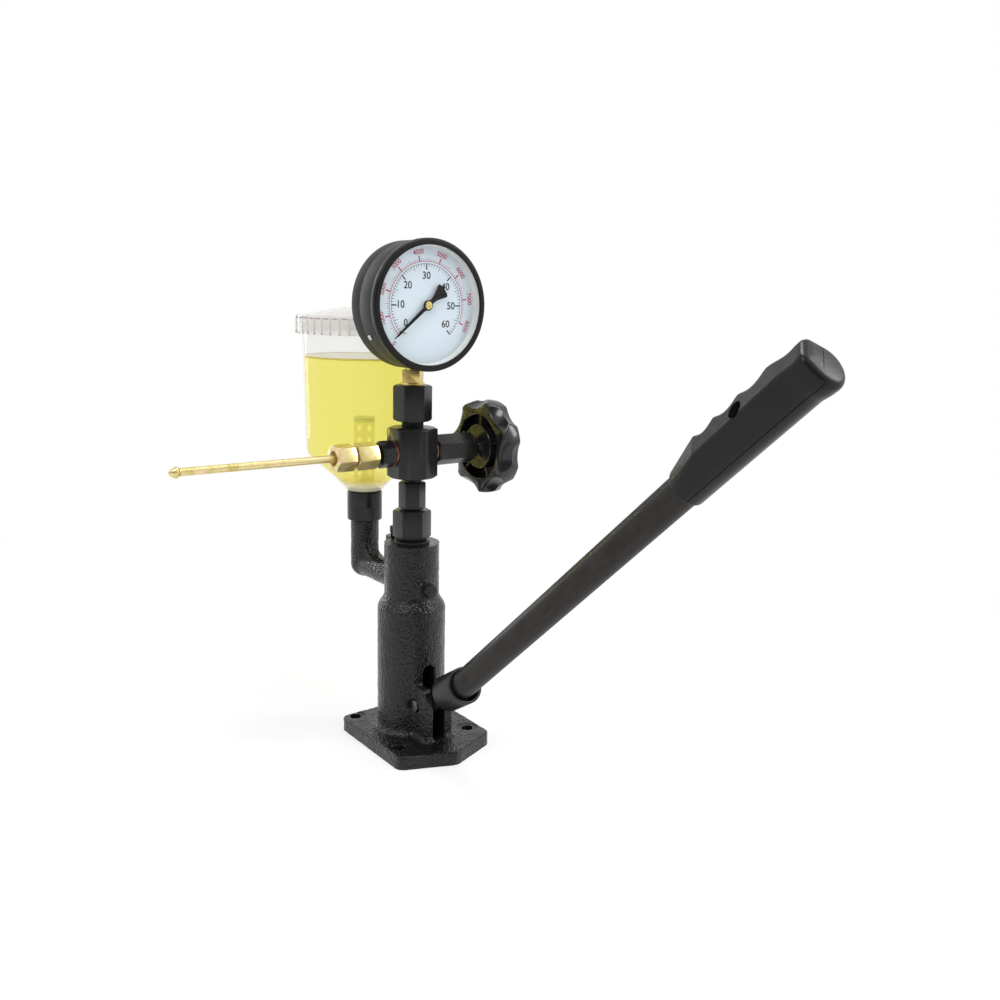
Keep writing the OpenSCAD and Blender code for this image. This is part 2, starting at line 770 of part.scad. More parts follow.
module pump_body() color(iron) difference() {
    union() {
        linear_extrude(base_t) plate_outline();
        rotate_extrude() column_section();
        lugs();
        inlet_arm();
        translate([0, bleed_y, 0]) rod(bleed_boss_d, z_fill, column_h - bleed_drop);
        translate([0, 0, z_lock]) rotate([90, 0, 0]) cylinder(d = lock_boss_d, h = neck_r + lock_boss_h);
    }
    for (x = [-1, 1], y = [-1, 1]) translate([x * bolt_dx / 2, y * bolt_dy / 2, 0]) {
        rod(bolt_d, -cut, base_t + cut);
        rod(spot_d, base_t - spot_depth, base_t + foot_r);
    }
    rod(chamber_d, slot_floor, z_barrel + cut);
    rod(barrel_d + 2 * fit, z_barrel, z_seat + cut);
    rod(holder_d, z_seat, column_h + cut);
    extrude_front(0, lug_reach + foot_r + cut) {
        translate([-slot_w / 2, slot_floor]) square([slot_w, pivot_z + slot_over - slot_w / 2 - slot_floor]);
        translate([0, pivot_z + slot_over - slot_w / 2]) circle(d = slot_w);
    }
    translate([0, -pivot_y, pivot_z]) rotate([0, 90, 0]) {
        rod(pin_d + 2 * fit, -lug_w, lug_w);
        rod(clip_d + 4 * side, lug_w / 2 - sink, lug_w);
    }
    translate([0, 0, z_fill]) rotate([-90, 0, 0]) rod(passage_d, barrel_d / 4, elbow_y);
    translate([0, elbow_y, 0]) rod(passage_d, z_fill - passage_d / 2, z_riser + spigot_l + cut);
    translate([0, bleed_y, 0]) rod(bleed_d + 2 * fit, z_fill, column_h);
    translate([0, 0, z_lock]) rotate([90, 0, 0]) rod(lock_d + 2 * fit, 0, neck_r + lock_boss_h + cut);
}

module plunger_barrel() color(steel) difference() {
    rod(barrel_d, z_barrel, z_barrel_top);
    rod(plunger_d + 2 * run, z_barrel - cut, z_barrel_top + cut);
    translate([0, 0, z_fill]) rotate([-90, 0, 0]) rod(fill_d, 0, barrel_d);
    translate([0, 0, z_lock]) rotate([90, 0, 0]) rod(lock_d + 2 * fit, barrel_d / 2 - 2 * cut, barrel_d);
}

module barrel_lock_screw() color(oxide) translate([0, 0, z_lock]) rotate([90, 0, 0]) {
    seat_y = neck_r + lock_boss_h + lock_washer_t;
    rod(lock_d, barrel_d / 2 - cut, seat_y + cut);
    hex(lock_af, seat_y, seat_y + lock_head_h);
}

module lock_screw_washer() color(oxide) translate([0, 0, z_lock]) rotate([90, 0, 0])
    ring(lock_boss_d - 2 * cut, lock_d + 2 * fit, neck_r + lock_boss_h, neck_r + lock_boss_h + lock_washer_t);

module bleed_screw() color(oxide) translate([0, bleed_y, 0]) {
    boss_z = column_h - bleed_drop;
    rod(bleed_d, z_fill + arm_d / 2, boss_z + cut);
    rod(bleed_af - cut, boss_z, boss_z + bleed_neck + sink);
    hex(bleed_af, boss_z + bleed_neck, boss_z + bleed_neck + bleed_head_h);
}

module plunger() color(steel) {
    rod(plunger_d, z_foot, plunger_top);
    rod(foot_d, z_foot, z_foot + foot_t);
}

module tappet() color(steel) rod(chamber_d - 2 * run, z_tappet, z_foot);

module spring_seat() color(oxide) difference() {
    rod(chamber_d - cut, z_foot, z_spring);
    rod(foot_d + 2 * fit, z_foot - cut, z_foot + foot_t);
    rod(plunger_d + 2 * fit, z_foot, z_spring + cut);
}

module plunger_spring() color(steel)
    coil("plunger spring", chamber_d - 2 * cut - spring_wire, spring_wire, spring_turns, z_spring, z_barrel);

module delivery_seat() color(steel) ring(barrel_d, dvalve_d + 2 * run, z_barrel_top, z_seat);

module delivery_valve() color(steel) {
    rod(dvalve_d, z_barrel_top + cut, z_seat + cut);
    rod(dvalve_head_d, z_seat, z_seat + dvalve_head_h);
}

module delivery_spring() color(steel)
    coil("delivery spring", dvalve_head_d - dspring_wire - cut, dspring_wire, dspring_turns,
        z_seat + dvalve_head_h, z_seat + valve_chamber_l);

module delivery_holder() color(oxide) difference() {
    union() {
        rod(holder_d - 2 * fit, z_seat, z_holder + cut);
        rotate([0, 0, 30]) hex(holder_af, z_holder, z_holder_top);
    }
    rod(valve_chamber_d, z_seat - cut, z_seat + valve_chamber_l);
    rod(bore_d, z_seat, z_holder_top);
    rod(nipple_d, z_holder_top - nipple_thread, z_holder_top + cut);
}

module holder_ring() color(oxide)
    ring(holder_ring_d, holder_d + 2 * fit, column_h, column_h + holder_ring_t);

module coupling_nipple() color(oxide) difference() {
    union() {
        rod(nipple_d - 2 * fit, z_holder_top - nipple_thread, z_holder_top + cut);
        rod(nipple_neck_d, z_holder_top, z_block);
        rotate([0, 0, 30]) hex(nipple_af, z_nipple, z_nipple_top);
        rod(port_d - 2 * fit, z_block - cut, z_block + port_depth);
    }
    rod(bore_d, z_holder_top - nipple_thread - cut, z_block + port_depth + cut);
}

module cross_block() color(oxide) difference() {
    rotate([0, 0, 30]) hex(block_af, z_block, z_block_top);
    rod(port_d, z_block - cut, z_block + port_depth);
    rod(port_d, z_block_top - port_depth, z_block_top + cut);
    rod(bore_d, z_block, z_block_top);
    along_outlet() {
        rod(port_d, block_face - side_depth, block_af);
        rod(port_d, -block_af, side_depth - block_face);
        rod(bore_d, -block_face, block_face);
    }
}

// Outlet

module outlet_washer() color(copper) along_outlet() ring(washer_d, port_d + 2 * fit, block_face, x_union);

module outlet_union() color(oxide) along_outlet() difference() {
    union() {
        rod(port_d - 2 * fit, block_face - side_depth, x_union + cut);
        hex(union_af, x_union, x_groove);
        rod(port_d - 2 * cut, x_groove - cut, x_union_end);
        rod(port_d - 2 * fit, x_groove + union_groove_l, x_union_end);
    }
    rod(bore_d, 0, x_union_end + cut);
    rotate_extrude() polygon([[0, x_pipe_start - cut], [cone_tip_d / 2 + fit, x_pipe_start - cut],
        [cone_tip_d / 2 + fit, x_pipe_start], [cone_d / 2 + fit, x_pipe_start + cone_l],
        [cone_d / 2 + fit, x_union_end + cut], [0, x_union_end + cut]]);
}

// A union nut between x0 and x1 with its thread open at the end named by mouth
module union_nut(x0, x1, thread_d, hole_d, mouth) difference() {
    hex(nut_af, x0, x1);
    rod(hole_d, x0 - cut, x1 + cut);
    if (mouth == "inner") rod(thread_d, x0 - cut, x1 - nut_floor);
    else rod(thread_d, x0 + nut_floor, x1 + cut);
}

module pipe_nut() color(zinc) along_outlet()
    union_nut(x_pipe_nut, x_pipe_nut_end, port_d, pipe_d + 2 * fit, "inner");

// A straight pipe with a sealing cone, a collar and a taper at each end
module injector_pipe() color(zinc) along_outlet() rotate_extrude() polygon([
    [pipe_bore / 2, x_pipe_start], [cone_tip_d / 2, x_pipe_start],
    [cone_d / 2, x_pipe_start + cone_l], [cone_d / 2, x_pipe_start + cone_l + cone_collar],
    [pipe_r, x_pipe_start + cone_whole], [pipe_r, x_pipe_end - cone_whole],
    [cone_d / 2, x_pipe_end - cone_l - cone_collar], [cone_d / 2, x_pipe_end - cone_l],
    [cone_tip_d / 2, x_pipe_end], [pipe_bore / 2, x_pipe_end]]);

module injector_nut() color(zinc) along_outlet()
    union_nut(x_injector_nut, x_injector_nut + injector_nut_l, port_d - 2 * cut, pipe_d + 2 * fit, "outer");

// Valve

module valve_washer() color(copper) along_valve() ring(washer_d, port_d + 2 * fit, block_face, x_bonnet);

module valve_bonnet() color(oxide) along_valve() difference() {
    union() {
        rod(port_d - 2 * fit, x_seat, x_bonnet + cut);
        hex(bonnet_af, x_bonnet, x_taper);
        translate([0, 0, x_taper - cut]) cylinder(d = bonnet_end_d + cut, h = cut);
        translate([0, 0, x_taper]) cylinder(d1 = bonnet_af - cut, d2 = bonnet_end_d, h = bonnet_taper);
    }
    rod(stem_d + 2 * run, x_seat - cut, x_bonnet_end + cut);
    rod(gland_d, x_gland, x_bonnet_end + cut);
}

module valve_packing() color([0.3, 0.3, 0.28]) along_valve()
    ring(gland_d - 2 * fit, stem_d + 2 * run, x_gland, x_gland + packing_l);

module gland_bush() color(brass) along_valve()
    ring(gland_d - 2 * fit, stem_d + 2 * run, x_gland + packing_l, x_bonnet_end);

// Stem with a conical needle that shuts the cross block's bore
module valve_stem() color(steel) along_valve() {
    needle_x = x_seat - needle_l;
    translate([0, 0, needle_x]) cylinder(d1 = bore_d - 2 * run, d2 = bore_d - run, h = needle_l - cut);
    rod(stem_d, x_seat, x_knob_end);
    rod(bore_d - run, needle_x + needle_l - 2 * cut, x_seat + cut);
}

// Outline of the knob, with round lobes and wide valleys
module knob_outline() polygon([for (i = [0 : 143]) let (a = 2.5 * i,
    wave = pow((1 + cos(knob_lobes * (a - 95))) / 2, 1.2),
    r = (knob_valley_d + (knob_d - knob_valley_d) * wave) / 2) [r * cos(a), r * sin(a)]]);

module valve_knob() color(vinyl) along_valve() difference() {
    edge_scale = (knob_d - knob_draft) / knob_d;
    translate([0, 0, x_knob]) {
        translate([0, 0, knob_edge]) mirror([0, 0, 1])
            linear_extrude(knob_edge, scale = edge_scale) knob_outline();
        translate([0, 0, knob_edge]) linear_extrude(knob_t - 2 * knob_edge) knob_outline();
        translate([0, 0, knob_t - knob_edge]) linear_extrude(knob_edge, scale = edge_scale) knob_outline();
    }
    difference() {
        ring(groove_d, hub_d, x_knob - cut, x_knob + groove_depth);
        for (i = [0 : knob_ribs - 1]) rotate([0, 0, 185 + 360 * i / knob_ribs])
            translate([0, -knob_rib_t / 2, x_knob + cut]) cube([groove_d, knob_rib_t, groove_depth]);
    }
    rod(stem_d + 2 * fit, x_knob - cut, x_knob_end + cut);
}

module knob_screw() color(steel) along_valve() difference() {
    rotate_extrude() polygon(rounded([[0, x_knob_end, 0], [knob_screw_d / 2, x_knob_end, 0],
        [knob_screw_d / 2, x_knob_end + knob_screw_h, cut], [0, x_knob_end + knob_screw_h, 0]]));
    translate([-knob_screw_d, -cut / 2, x_knob_end + knob_screw_h / 2])
        cube([2 * knob_screw_d, cut, knob_screw_h]);
}

// Gauge

module gauge_coupling() color(oxide) difference() {
    union() {
        rod(port_d - 2 * fit, z_block_top - port_depth, z_block_top + cut);
        rod(coupling_neck_d, z_block_top, z_coupling + cut);
        rotate([0, 0, 34]) hex(coupling_af, z_coupling, z_coupling_top);
    }
    rod(bore_d, z_block_top - port_depth - cut, z_coupling_top);
    rod(socket_thread_d, z_coupling_top - socket_thread_l, z_coupling_top + cut);
}

// Brass socket: thread, flange, square and the block inside the case that holds the Bourdon tube
module gauge_socket() color(brass) difference() {
    union() {
        rod(socket_thread_d - 2 * fit, z_coupling_top - socket_thread_l, z_coupling_top + cut);
        rod(flange_d, z_coupling_top, z_square);
        translate([0, 0, z_square]) rotate([0, 0, 45]) translate([-square_w / 2, -square_w / 2, 0])
            cube([square_w, square_w, square_h]);
        rod(entry_d, z_square_top - cut, block_z + cut);
        translate([-9, y_block, block_z])
            cube([18, gauge_rear - case_wall - side - y_block, block_top - block_z]);
    }
    rod(bore_d, 0, block_top - 3 * cut);
}

module gauge_case() color([0.12, 0.12, 0.13]) difference() {
    along_gauge() ring(2 * case_r, 2 * case_in, gauge_seam, -y_case);
    rod(entry_d + 2 * fit, z_square_top, z_gauge);
    for (a = [90, 210, 330]) along_gauge() rotate([0, 0, a]) translate([0, 0, -case_screw_y])
        rotate([0, 90, 0]) rod(case_screw_d + 2 * side, case_in - cut, case_r + cut);
}

module gauge_back() color([0.12, 0.12, 0.13]) difference() {
    along_gauge() {
        difference() {
            rotate_extrude() polygon(rounded([[0, -gauge_rear, 0], [case_r, -gauge_rear, 2.5],
                [case_r, gauge_seam, 0], [0, gauge_seam, 0]]));
            rod(2 * case_in - 2 * case_wall, case_wall - gauge_rear, gauge_seam + cut);
        }
        ring(2 * case_in - 2 * fit, 2 * case_in - 2 * case_wall, gauge_seam - cut, gauge_seam + back_spigot);
    }
    rod(entry_d + 2 * fit, z_square_top, z_gauge);
    for (a = [90, 210, 330]) along_gauge() rotate([0, 0, a]) translate([0, 0, -case_screw_y])
        rotate([0, 90, 0]) rod(case_screw_d / 2 + 2 * fit, case_in - 2 * case_wall, case_r + cut);
}

// Round-fronted ring that folds over the glass
module gauge_bezel() color([0.05, 0.05, 0.05]) along_gauge() rotate_extrude() polygon(rounded([
    [case_r + fit, gauge_front - bezel_depth, 0], [bezel_r, gauge_front - bezel_depth, 0],
    [bezel_r, gauge_front, 2], [bezel_r - bezel_rim, gauge_front, bezel_lip / 2],
    [bezel_r - bezel_rim, -y_glass, 0], [case_r + fit, -y_glass, 0]]));

module gauge_glass() color([0.9, 0.95, 0.95, 0.3]) along_gauge() rod(2 * case_r, -y_case, -y_glass);

module gauge_dial() color([0.9, 0.92, 0.95]) along_gauge() difference() {
    rod(2 * dial_r, -y_dial_back, -y_dial);
    rod(2 * arbor_d, -y_dial_back - cut, -y_dial + cut);
    rotate([0, 0, zero_angle + 4]) translate([pointer_l - 12, 0, 0])
        rod(arbor_d * 0.8, -y_dial_back - cut, -y_dial + cut);
}

module stop_pin() color(brass) along_gauge() rotate([0, 0, zero_angle + 4]) translate([pointer_l - 12, 0, 0])
    rod(arbor_d * 0.8 - 2 * fit, -y_dial_back, -y_pointer + cut);

// Tapered pointer with a round hub and a flared tail
module gauge_pointer() color(vinyl) along_gauge() rotate([0, 0, zero_angle]) difference() {
    union() {
        translate([0, 0, -y_pointer]) linear_extrude(pointer_t) {
            polygon([[0, -1.5], [pointer_l - 2, -0.7], [pointer_l, 0], [pointer_l - 2, 0.7], [0, 1.5]]);
            circle(d = 8);
            polygon(rounded([[0, -2, 0], [0, 2, 0], [-tail_l, tail_w / 2, 1], [-tail_l - 1.5, 0, 0],
                [-tail_l, -tail_w / 2, 1]]));
        }
        rod(5, -y_pointer - 1.5 * cut, -y_pointer + cut / 2);
    }
    rod(arbor_d + 2 * fit, -y_pointer - 3 * cut, -y_pointer + pointer_t + cut);
}

module pointer_cap() color(brass) along_gauge() rotate_extrude() polygon(rounded([
    [0, -y_pointer + pointer_t, 0], [3, -y_pointer + pointer_t, 0],
    [3, -y_pointer + pointer_t + cut, cut / 2], [0, -y_pointer + pointer_t + cut, 0]]));

// One trapezoid tooth at angle a, between its root and tip radii
function tooth(a, pitch, root, tip) = [for (p = [[root, -0.2], [tip, -0.1], [tip, 0.1], [root, 0.2]])
    p[0] * [cos(a + p[1] * pitch), sin(a + p[1] * pitch)]];

module pinion_arbor() color(brass) along_gauge() {
    pitch = 360 / pinion_teeth;
    rod(arbor_d, -y_back_plate - plate_t, -y_pointer + pointer_t);
    translate([0, 0, -y_mesh - mesh_t]) linear_extrude(mesh_t)
        polygon([for (i = [0 : pinion_teeth - 1]) each
            tooth(270 + (i + 0.5) * pitch, pitch, pinion_r - 1.1 * gear_m, pinion_r + 0.8 * gear_m)]);
}

// Toothed sector on its arbor, with the tail that the link pulls
module sector_gear() color(brass) translate([0, 0, z_sector]) rotate([90, 0, 0]) {
    pitch = 360 / sector_teeth;
    first = -2 - ceil(sector_swing / pitch);
    tail = tail_reach * [cos(tail_angle), sin(tail_angle)];
    translate([0, 0, -y_mesh - mesh_t + side]) linear_extrude(mesh_t - 2 * side) {
        polygon(concat([[0, 0]], [for (i = [first : 2]) each
            tooth(90 + i * pitch, pitch, sector_r - 1.1 * gear_m, sector_r + 0.8 * gear_m)]));
        circle(d = 7);
        polygon([[0, 2], [0, -2], tail + [1, -1.5], tail + [-1, 1.5]]);
        translate(tail) circle(d = 3);
    }
    rod(arbor_d, -y_back_plate - plate_t, -y_plate);
}

// Two brass plates on posts, with the dial's feet and the hairspring's stud
module movement_frame() color(brass) {
    plate_bottom = block_top - 4;
    plate_top = z_gauge + 9;
    posts = [[plate_w / 2 - 2.5, z_gauge + 6.5], [2.5 - plate_w / 2, z_gauge + 6.5],
        [plate_w / 2 - 2.5, plate_bottom + 2.5]];
    difference() {
        union() {
            for (y = [y_plate + plate_t, y_back_plate + plate_t]) extrude_front(y, plate_t)
                polygon(rounded([[-plate_w / 2, plate_bottom, 2], [plate_w / 2, plate_bottom, 2],
                    [plate_w / 2, plate_top, 2], [-plate_w / 2, plate_top, 2]]));
            for (p = posts) extrude_front(y_back_plate + cut, y_back_plate - y_dial_back + cut)
                translate(p) circle(d = 3);
            extrude_front(y_plate + plate_t + cut, 2 * cut) translate([6.95, z_gauge]) circle(d = 1);
        }
        for (z = [z_gauge, z_sector]) extrude_front(0, -y_dial) translate([0, z])
            circle(d = arbor_d + 2 * run);
    }
}

// Point t of the way out along the hairspring's three turns
function spiral(t, w) = (1.6 + 4.6 * t + w) * [cos(1080 * t), sin(1080 * t)];

// Flat spiral that takes up the play of the teeth
module hairspring() color(steel) extrude_front(y_mesh - side, 0.5) translate([0, z_gauge]) {
    steps = 72;
    polygon(concat([for (i = [0 : steps]) spiral(i / steps, 0)],
        [for (i = [steps : -1 : 0]) spiral(i / steps, 0.2)]));
}

// Flattened tube bent round the case, closed by a tip that carries the link's pin
module bourdon_tube() color(brass) {
    tip = bourdon_r * [cos(bourdon_end), sin(bourdon_end)];
    along_gauge() translate([0, 0, -bourdon_y]) rotate([0, 0, bourdon_from])
        rotate_extrude(angle = bourdon_sweep) translate([bourdon_r, 0]) difference() {
            flat_tube(bourdon_t, bourdon_w);
            flat_tube(bourdon_t - 2 * bourdon_wall, bourdon_w - 2 * bourdon_wall);
        }
    along_gauge() translate([0, 0, -bourdon_y]) rotate([0, 0, bourdon_end]) translate([bourdon_r, -cut, 0])
        rotate([-90, 0, 0]) linear_extrude(3 * cut) flat_tube(bourdon_t + cut, bourdon_w + cut);
    along_gauge() translate([tip.x, tip.y, 0]) rotate([0, 0, bourdon_end]) translate([0, 1, 0])
        rod(1.6, -bourdon_y, -y_link + cut);
}

module flat_tube(t, w) {
    square([t, w - t], center = true);
    for (s = [-1, 1]) translate([0, s * (w - t) / 2]) circle(d = t);
}

// Link from the tube's tip to the sector's tail
module bourdon_link() color(brass) {
    tip = bourdon_r * [cos(bourdon_end), sin(bourdon_end)] + [-sin(bourdon_end), cos(bourdon_end)];
    tail = [0, -pinion_r - sector_r] + tail_reach * [cos(tail_angle), sin(tail_angle)];
    span = tail - tip;
    along_gauge() difference() {
        translate([tip.x, tip.y, -y_link]) rotate([0, 0, atan2(span.y, span.x)]) linear_extrude(link_t) {
            translate([0, -1.2]) square([norm(span), 2.4]);
            circle(link_r);
            translate([norm(span), 0]) circle(link_r);
        }
        translate([tip.x, tip.y, 0]) rod(1.6 + 2 * fit, -y_link - cut, -y_link + 2 * cut);
        translate([tail.x, tail.y, 0]) rod(1.6 + 2 * fit, -y_link - cut, -y_link + 2 * cut);
    }
}

module case_screws() color(steel) for (a = [90, 210, 330]) along_gauge() rotate([0, 0, a])
    translate([0, 0, -case_screw_y]) rotate([0, 90, 0]) {
        rod(case_screw_d / 2, case_in - 2 * case_wall, case_r);
        rotate_extrude() polygon(rounded([[0, case_in + fit, 0], [case_screw_d / 2, case_in + fit, 0],
            [case_screw_d / 2, case_r + cut, 0.8], [0, case_r + cut, 0]]));
    }

// Oil cup

module cup_adapter() color(oxide) translate([0, elbow_y, 0]) difference() {
    rotate_extrude() polygon(rounded([[0, z_riser, 0], [adapter_d / 2, z_riser, cut],
        [adapter_d / 2, z_adapter, cut], [0, z_adapter, 0]]));
    rod(spigot_d, z_riser - cut, z_riser + spigot_l + fit);
    rod(passage_d, z_riser, z_adapter);
    rod(cup_neck_d, z_adapter - cup_neck_l - fit, z_adapter + cut);
    for (m = [0, 1]) rotate([0, 0, 58 + 180 * m]) translate([adapter_af / 2, -adapter_d / 2, z_riser - cut])
        cube([adapter_d, adapter_d, adapter_flat_h + cut]);
}

module cup_seal() color(vinyl) translate([0, elbow_y, 0])
    ring(adapter_d - 2 * cut, cup_neck_d + 2 * fit, z_adapter, z_cup);

// Clear cup: threaded neck, flat foot, cone, drafted wall and a bead at the rim
module oil_cup() color([0.9, 0.85, 0.2, 0.5]) translate([0, elbow_y, 0]) rotate_extrude() polygon(rounded([
    [cup_neck_bore / 2, z_cup - cup_neck_l, 0], [cup_neck_d / 2 - fit, z_cup - cup_neck_l, 0],
    [cup_neck_d / 2 - fit, z_cup, 0], [cup_foot_d / 2, z_cup, 1], [cup_foot_d / 2 + 2, z_cup + cup_floor, 2],
    [cup_r, z_cone, 9], [rim_r, z_rim - lid_skirt / 2 - cup_bead_h / 2, 0],
    [rim_r + cup_bead, z_rim - lid_skirt / 2 - cup_bead_h / 2, cup_bead_h / 3],
    [rim_r + cup_bead, z_rim - lid_skirt / 2 + cup_bead_h / 2, cup_bead_h / 3],
    [rim_r, z_rim - lid_skirt / 2 + cup_bead_h / 2, 0], [rim_r, z_rim, 0], [rim_r - cup_wall, z_rim, 0],
    [cup_r - cup_wall, z_cone + cup_wall / 3, 8], [cup_foot_d / 2, z_cup + cup_floor, 2],
    [cup_neck_bore / 2, z_cup + cup_floor, 0]]));

// Ribbed lid with a low dome, which rests on the cup's rim
module cup_lid() color([0.92, 0.92, 0.88, 0.7]) translate([0, elbow_y, 0]) difference() {
    union() {
        rotate_extrude() polygon(rounded([[0, z_rim - lid_skirt, 0],
            [lid_r - lid_rib_h, z_rim - lid_skirt, 0], [lid_r - lid_rib_h, z_rim + lid_rim_h, 2],
            [rim_r - 2, z_rim + lid_rim_h, 3], [rim_r / 3, z_rim + lid_rim_h + lid_dome, 12], [0, z_rim + lid_rim_h + lid_dome, 0]]));
        for (i = [0 : lid_ribs - 1]) rotate([0, 0, 360 * i / lid_ribs])
            translate([lid_r - lid_wall, -lid_rib_w / 2, z_rim - lid_skirt])
                cube([lid_wall, lid_rib_w, lid_skirt + lid_rim_h - 2]);
    }
    rotate_extrude() polygon(rounded([[0, z_rim - lid_skirt - cut, 0], [lid_in, z_rim - lid_skirt - cut, 0],
        [lid_in, z_rim, 0], [rim_r - 2 * cup_wall, z_rim, 0],
        [rim_r - 2 * cup_wall, z_rim + lid_rim_h - lid_wall, 0],
        [rim_r / 3, z_rim + lid_rim_h + lid_dome - lid_wall, 10],
        [0, z_rim + lid_rim_h + lid_dome - lid_wall, 0]]));
}

// Perforated strainer that stands over the cup's neck
module inlet_filter() color([0.5, 0.45, 0.2]) translate([0, elbow_y, z_cup + cup_floor]) difference() {
    rod(filter_d, 0, filter_h);
    rod(filter_d - 2 * filter_wall, -cut, filter_h - 2 * filter_wall);
    for (i = [1 : filter_rows], j = [0 : filter_count / 2 - 1])
        translate([0, 0, i * filter_h / (filter_rows + 1)]) rotate([90, 0, 360 * j / filter_count])
            rod(filter_hole_d, -filter_d, filter_d);
}

// Lever

// Point of the lever's cam at which the tappet touches after the lever has turned by a
function cam_point(a) = let (h = cam_rise - side + pivot_y * a * PI / 180)
    [pivot_y * cos(a) + h * sin(a), h * cos(a) - pivot_y * sin(a)];

// Flat arm in the clevis: an involute nose under the tappet, a boss round the pin and the socket
module lever_arm() color(iron) {
    tip = cam_point(lever_travel + 3);
    translate([0, -pivot_y, pivot_z]) difference() {
        extrude_x(slot_w - 2 * side) {
            circle(d = blade_h + 3);
            rotate(180 - socket_angle) translate([0, -blade_h / 2]) square([socket_back + 2 * cut, blade_h]);
            polygon(concat([for (a = [-3 : 1 : lever_travel + 3]) cam_point(a)],
                [tip - [0.5, 3.5], tip - [4, nose_drop], [0, -blade_h / 2], [0, blade_h / 2],
                    [blade_h / 2, nose_top + 2], [pivot_y - 10, nose_top]]));
        }
        rotate([0, 90, 0]) rod(pin_d + 2 * run, -slot_w, slot_w);
    }
    along_socket() rotate_extrude() polygon([[0, socket_back], [socket_r - 3, socket_back],
        [socket_r, socket_back + 3], [socket_r, socket_back + socket_l],
        [socket_r - socket_wall, socket_back + socket_l], [socket_r - socket_wall, bend_start],
        [tube_r + fit, bend_start], [tube_r + fit, tube_foot], [0, tube_foot]]);
}

module tube_section(swell) difference() {
    circle(tube_r + swell);
    circle(tube_r - tube_wall - swell);
}

// Tube with a short, slightly swollen bend inside the socket and a hole for the grip screw
module lever_tube() color([0.2, 0.17, 0.15]) difference() {
    union() {
        along_socket() translate([0, 0, tube_foot]) linear_extrude(socket_seat + sink) tube_section(0);
        along_socket() translate([0, bend_r, bend_start])
            multmatrix([[0, 0, -1, 0], [-1, 0, 0, 0], [0, 1, 0, 0], [0, 0, 0, 1]])
            rotate_extrude(angle = tube_bend) translate([bend_r, 0]) tube_section(fit);
        along_tube() translate([0, 0, -sink]) linear_extrude(tube_l + sink) tube_section(0);
    }
    along_tube() translate([0, 0, grip_from + screw_at]) rotate([-90, 0, grip_turn])
        rod(grip_shank_d + 2 * fit, 0, tube_d);
}

// One slice of the grip: round on the palm side, with the two edges of the flat face
module grip_slice(z, swell) translate([0, 0, z]) {
    cylinder(r = tube_r + grip_wall + swell, h = 0.5, $fn = 32);
    translate([grip_edge_r - grip_near, grip_flat - grip_edge_r, 0])
        cylinder(r = grip_edge_r + swell, h = 0.5, $fn = 32);
    translate([grip_far - finger_r, grip_flat - finger_r, 0]) cylinder(r = finger_r + swell, h = 0.5, $fn = 32);
}

// Moulded grip with finger hollows between narrow ridges and a flared end, turned round the tube
module lever_grip() color(vinyl) along_tube() translate([0, 0, grip_from]) rotate([0, 0, grip_turn])
difference() {
    union() {
        hull() {
            cylinder(r = tube_r + grip_wall, h = 0.5, $fn = 32);
            grip_slice(finger_w[0], 0);
            grip_slice(grip_l - flange_l / 2, sink);
        }
        hull() {
            grip_slice(grip_l - flange_l, -sink);
            grip_slice(grip_l - flange_l / 2, flange_h);
            grip_slice(grip_l - 0.5, -cut);
        }
    }
    for (i = [1 : len(finger_w) - 1]) {
        hollow_r = (pow(finger_w[i] / 2 - cut, 2) + pow(finger_depth, 2)) / (2 * finger_depth);
        rotate([0, 0, finger_turn])
            translate([ridge - finger_depth + hollow_r, 0, finger_end[i] - finger_w[i] / 2])
            rotate([90, 0, 0]) rod(2 * hollow_r, -2 * ridge, 2 * ridge);
    }
    rod(tube_d + 2 * fit, -cut, grip_l - grip_end);
    translate([0, 0, screw_at]) rotate([-90, 0, 0]) rod(grip_hole_d, 0, 2 * grip_flat);
}

module grip_screw() color(steel) along_tube() translate([0, 0, grip_from + screw_at])
rotate([-90, 0, grip_turn]) {
    rod(grip_shank_d, tube_r - 2 * tube_wall, tube_r + fit + grip_screw_h);
    rod(grip_screw_d, tube_r + fit, tube_r + fit + grip_screw_h);
}

module lever_pin() color(oxide) translate([0, -pivot_y, pivot_z]) rotate([0, 90, 0]) difference() {
    rod(pin_d, -lug_w / 2 - pin_proud, lug_w / 2 + 2 * clip_t + cut);
    ring(2 * pin_d, pin_d - 2 * cut, lug_w / 2 + side - fit, lug_w / 2 + side + clip_t + fit);
}

module pin_clip() color(oxide) translate([0, -pivot_y, pivot_z]) rotate([0, 90, 0])
    ring(clip_d, pin_d - 2 * cut + 2 * fit, lug_w / 2 + side, lug_w / 2 + side + clip_t);

pump_body();
plunger_barrel();
barrel_lock_screw();
lock_screw_washer();
bleed_screw();
plunger();
tappet();
spring_seat();
plunger_spring();
delivery_seat();
delivery_valve();
delivery_spring();
delivery_holder();
holder_ring();
coupling_nipple();
cross_block();
outlet_washer();
outlet_union();
pipe_nut();
injector_pipe();
injector_nut();
valve_washer();
valve_bonnet();
valve_packing();
gland_bush();
valve_stem();
valve_knob();
knob_screw();
gauge_coupling();
gauge_socket();
gauge_case();
gauge_back();
gauge_bezel();
gauge_glass();
gauge_dial();
stop_pin();
gauge_pointer();
pointer_cap();
pinion_arbor();
sector_gear();
movement_frame();
bourdon_tube();
bourdon_link();
hairspring();
case_screws();
cup_adapter();
cup_seal();
oil_cup();
cup_lid();
inlet_filter();
lever_arm();
lever_tube();
lever_grip();
grip_screw();
lever_pin();
pin_clip();
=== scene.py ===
"""Looks of a hand-pumped diesel injector tester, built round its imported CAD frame."""

import json
import math

import bmesh
import bpy
import numpy as np
from mathutils import Matrix, Vector, noise


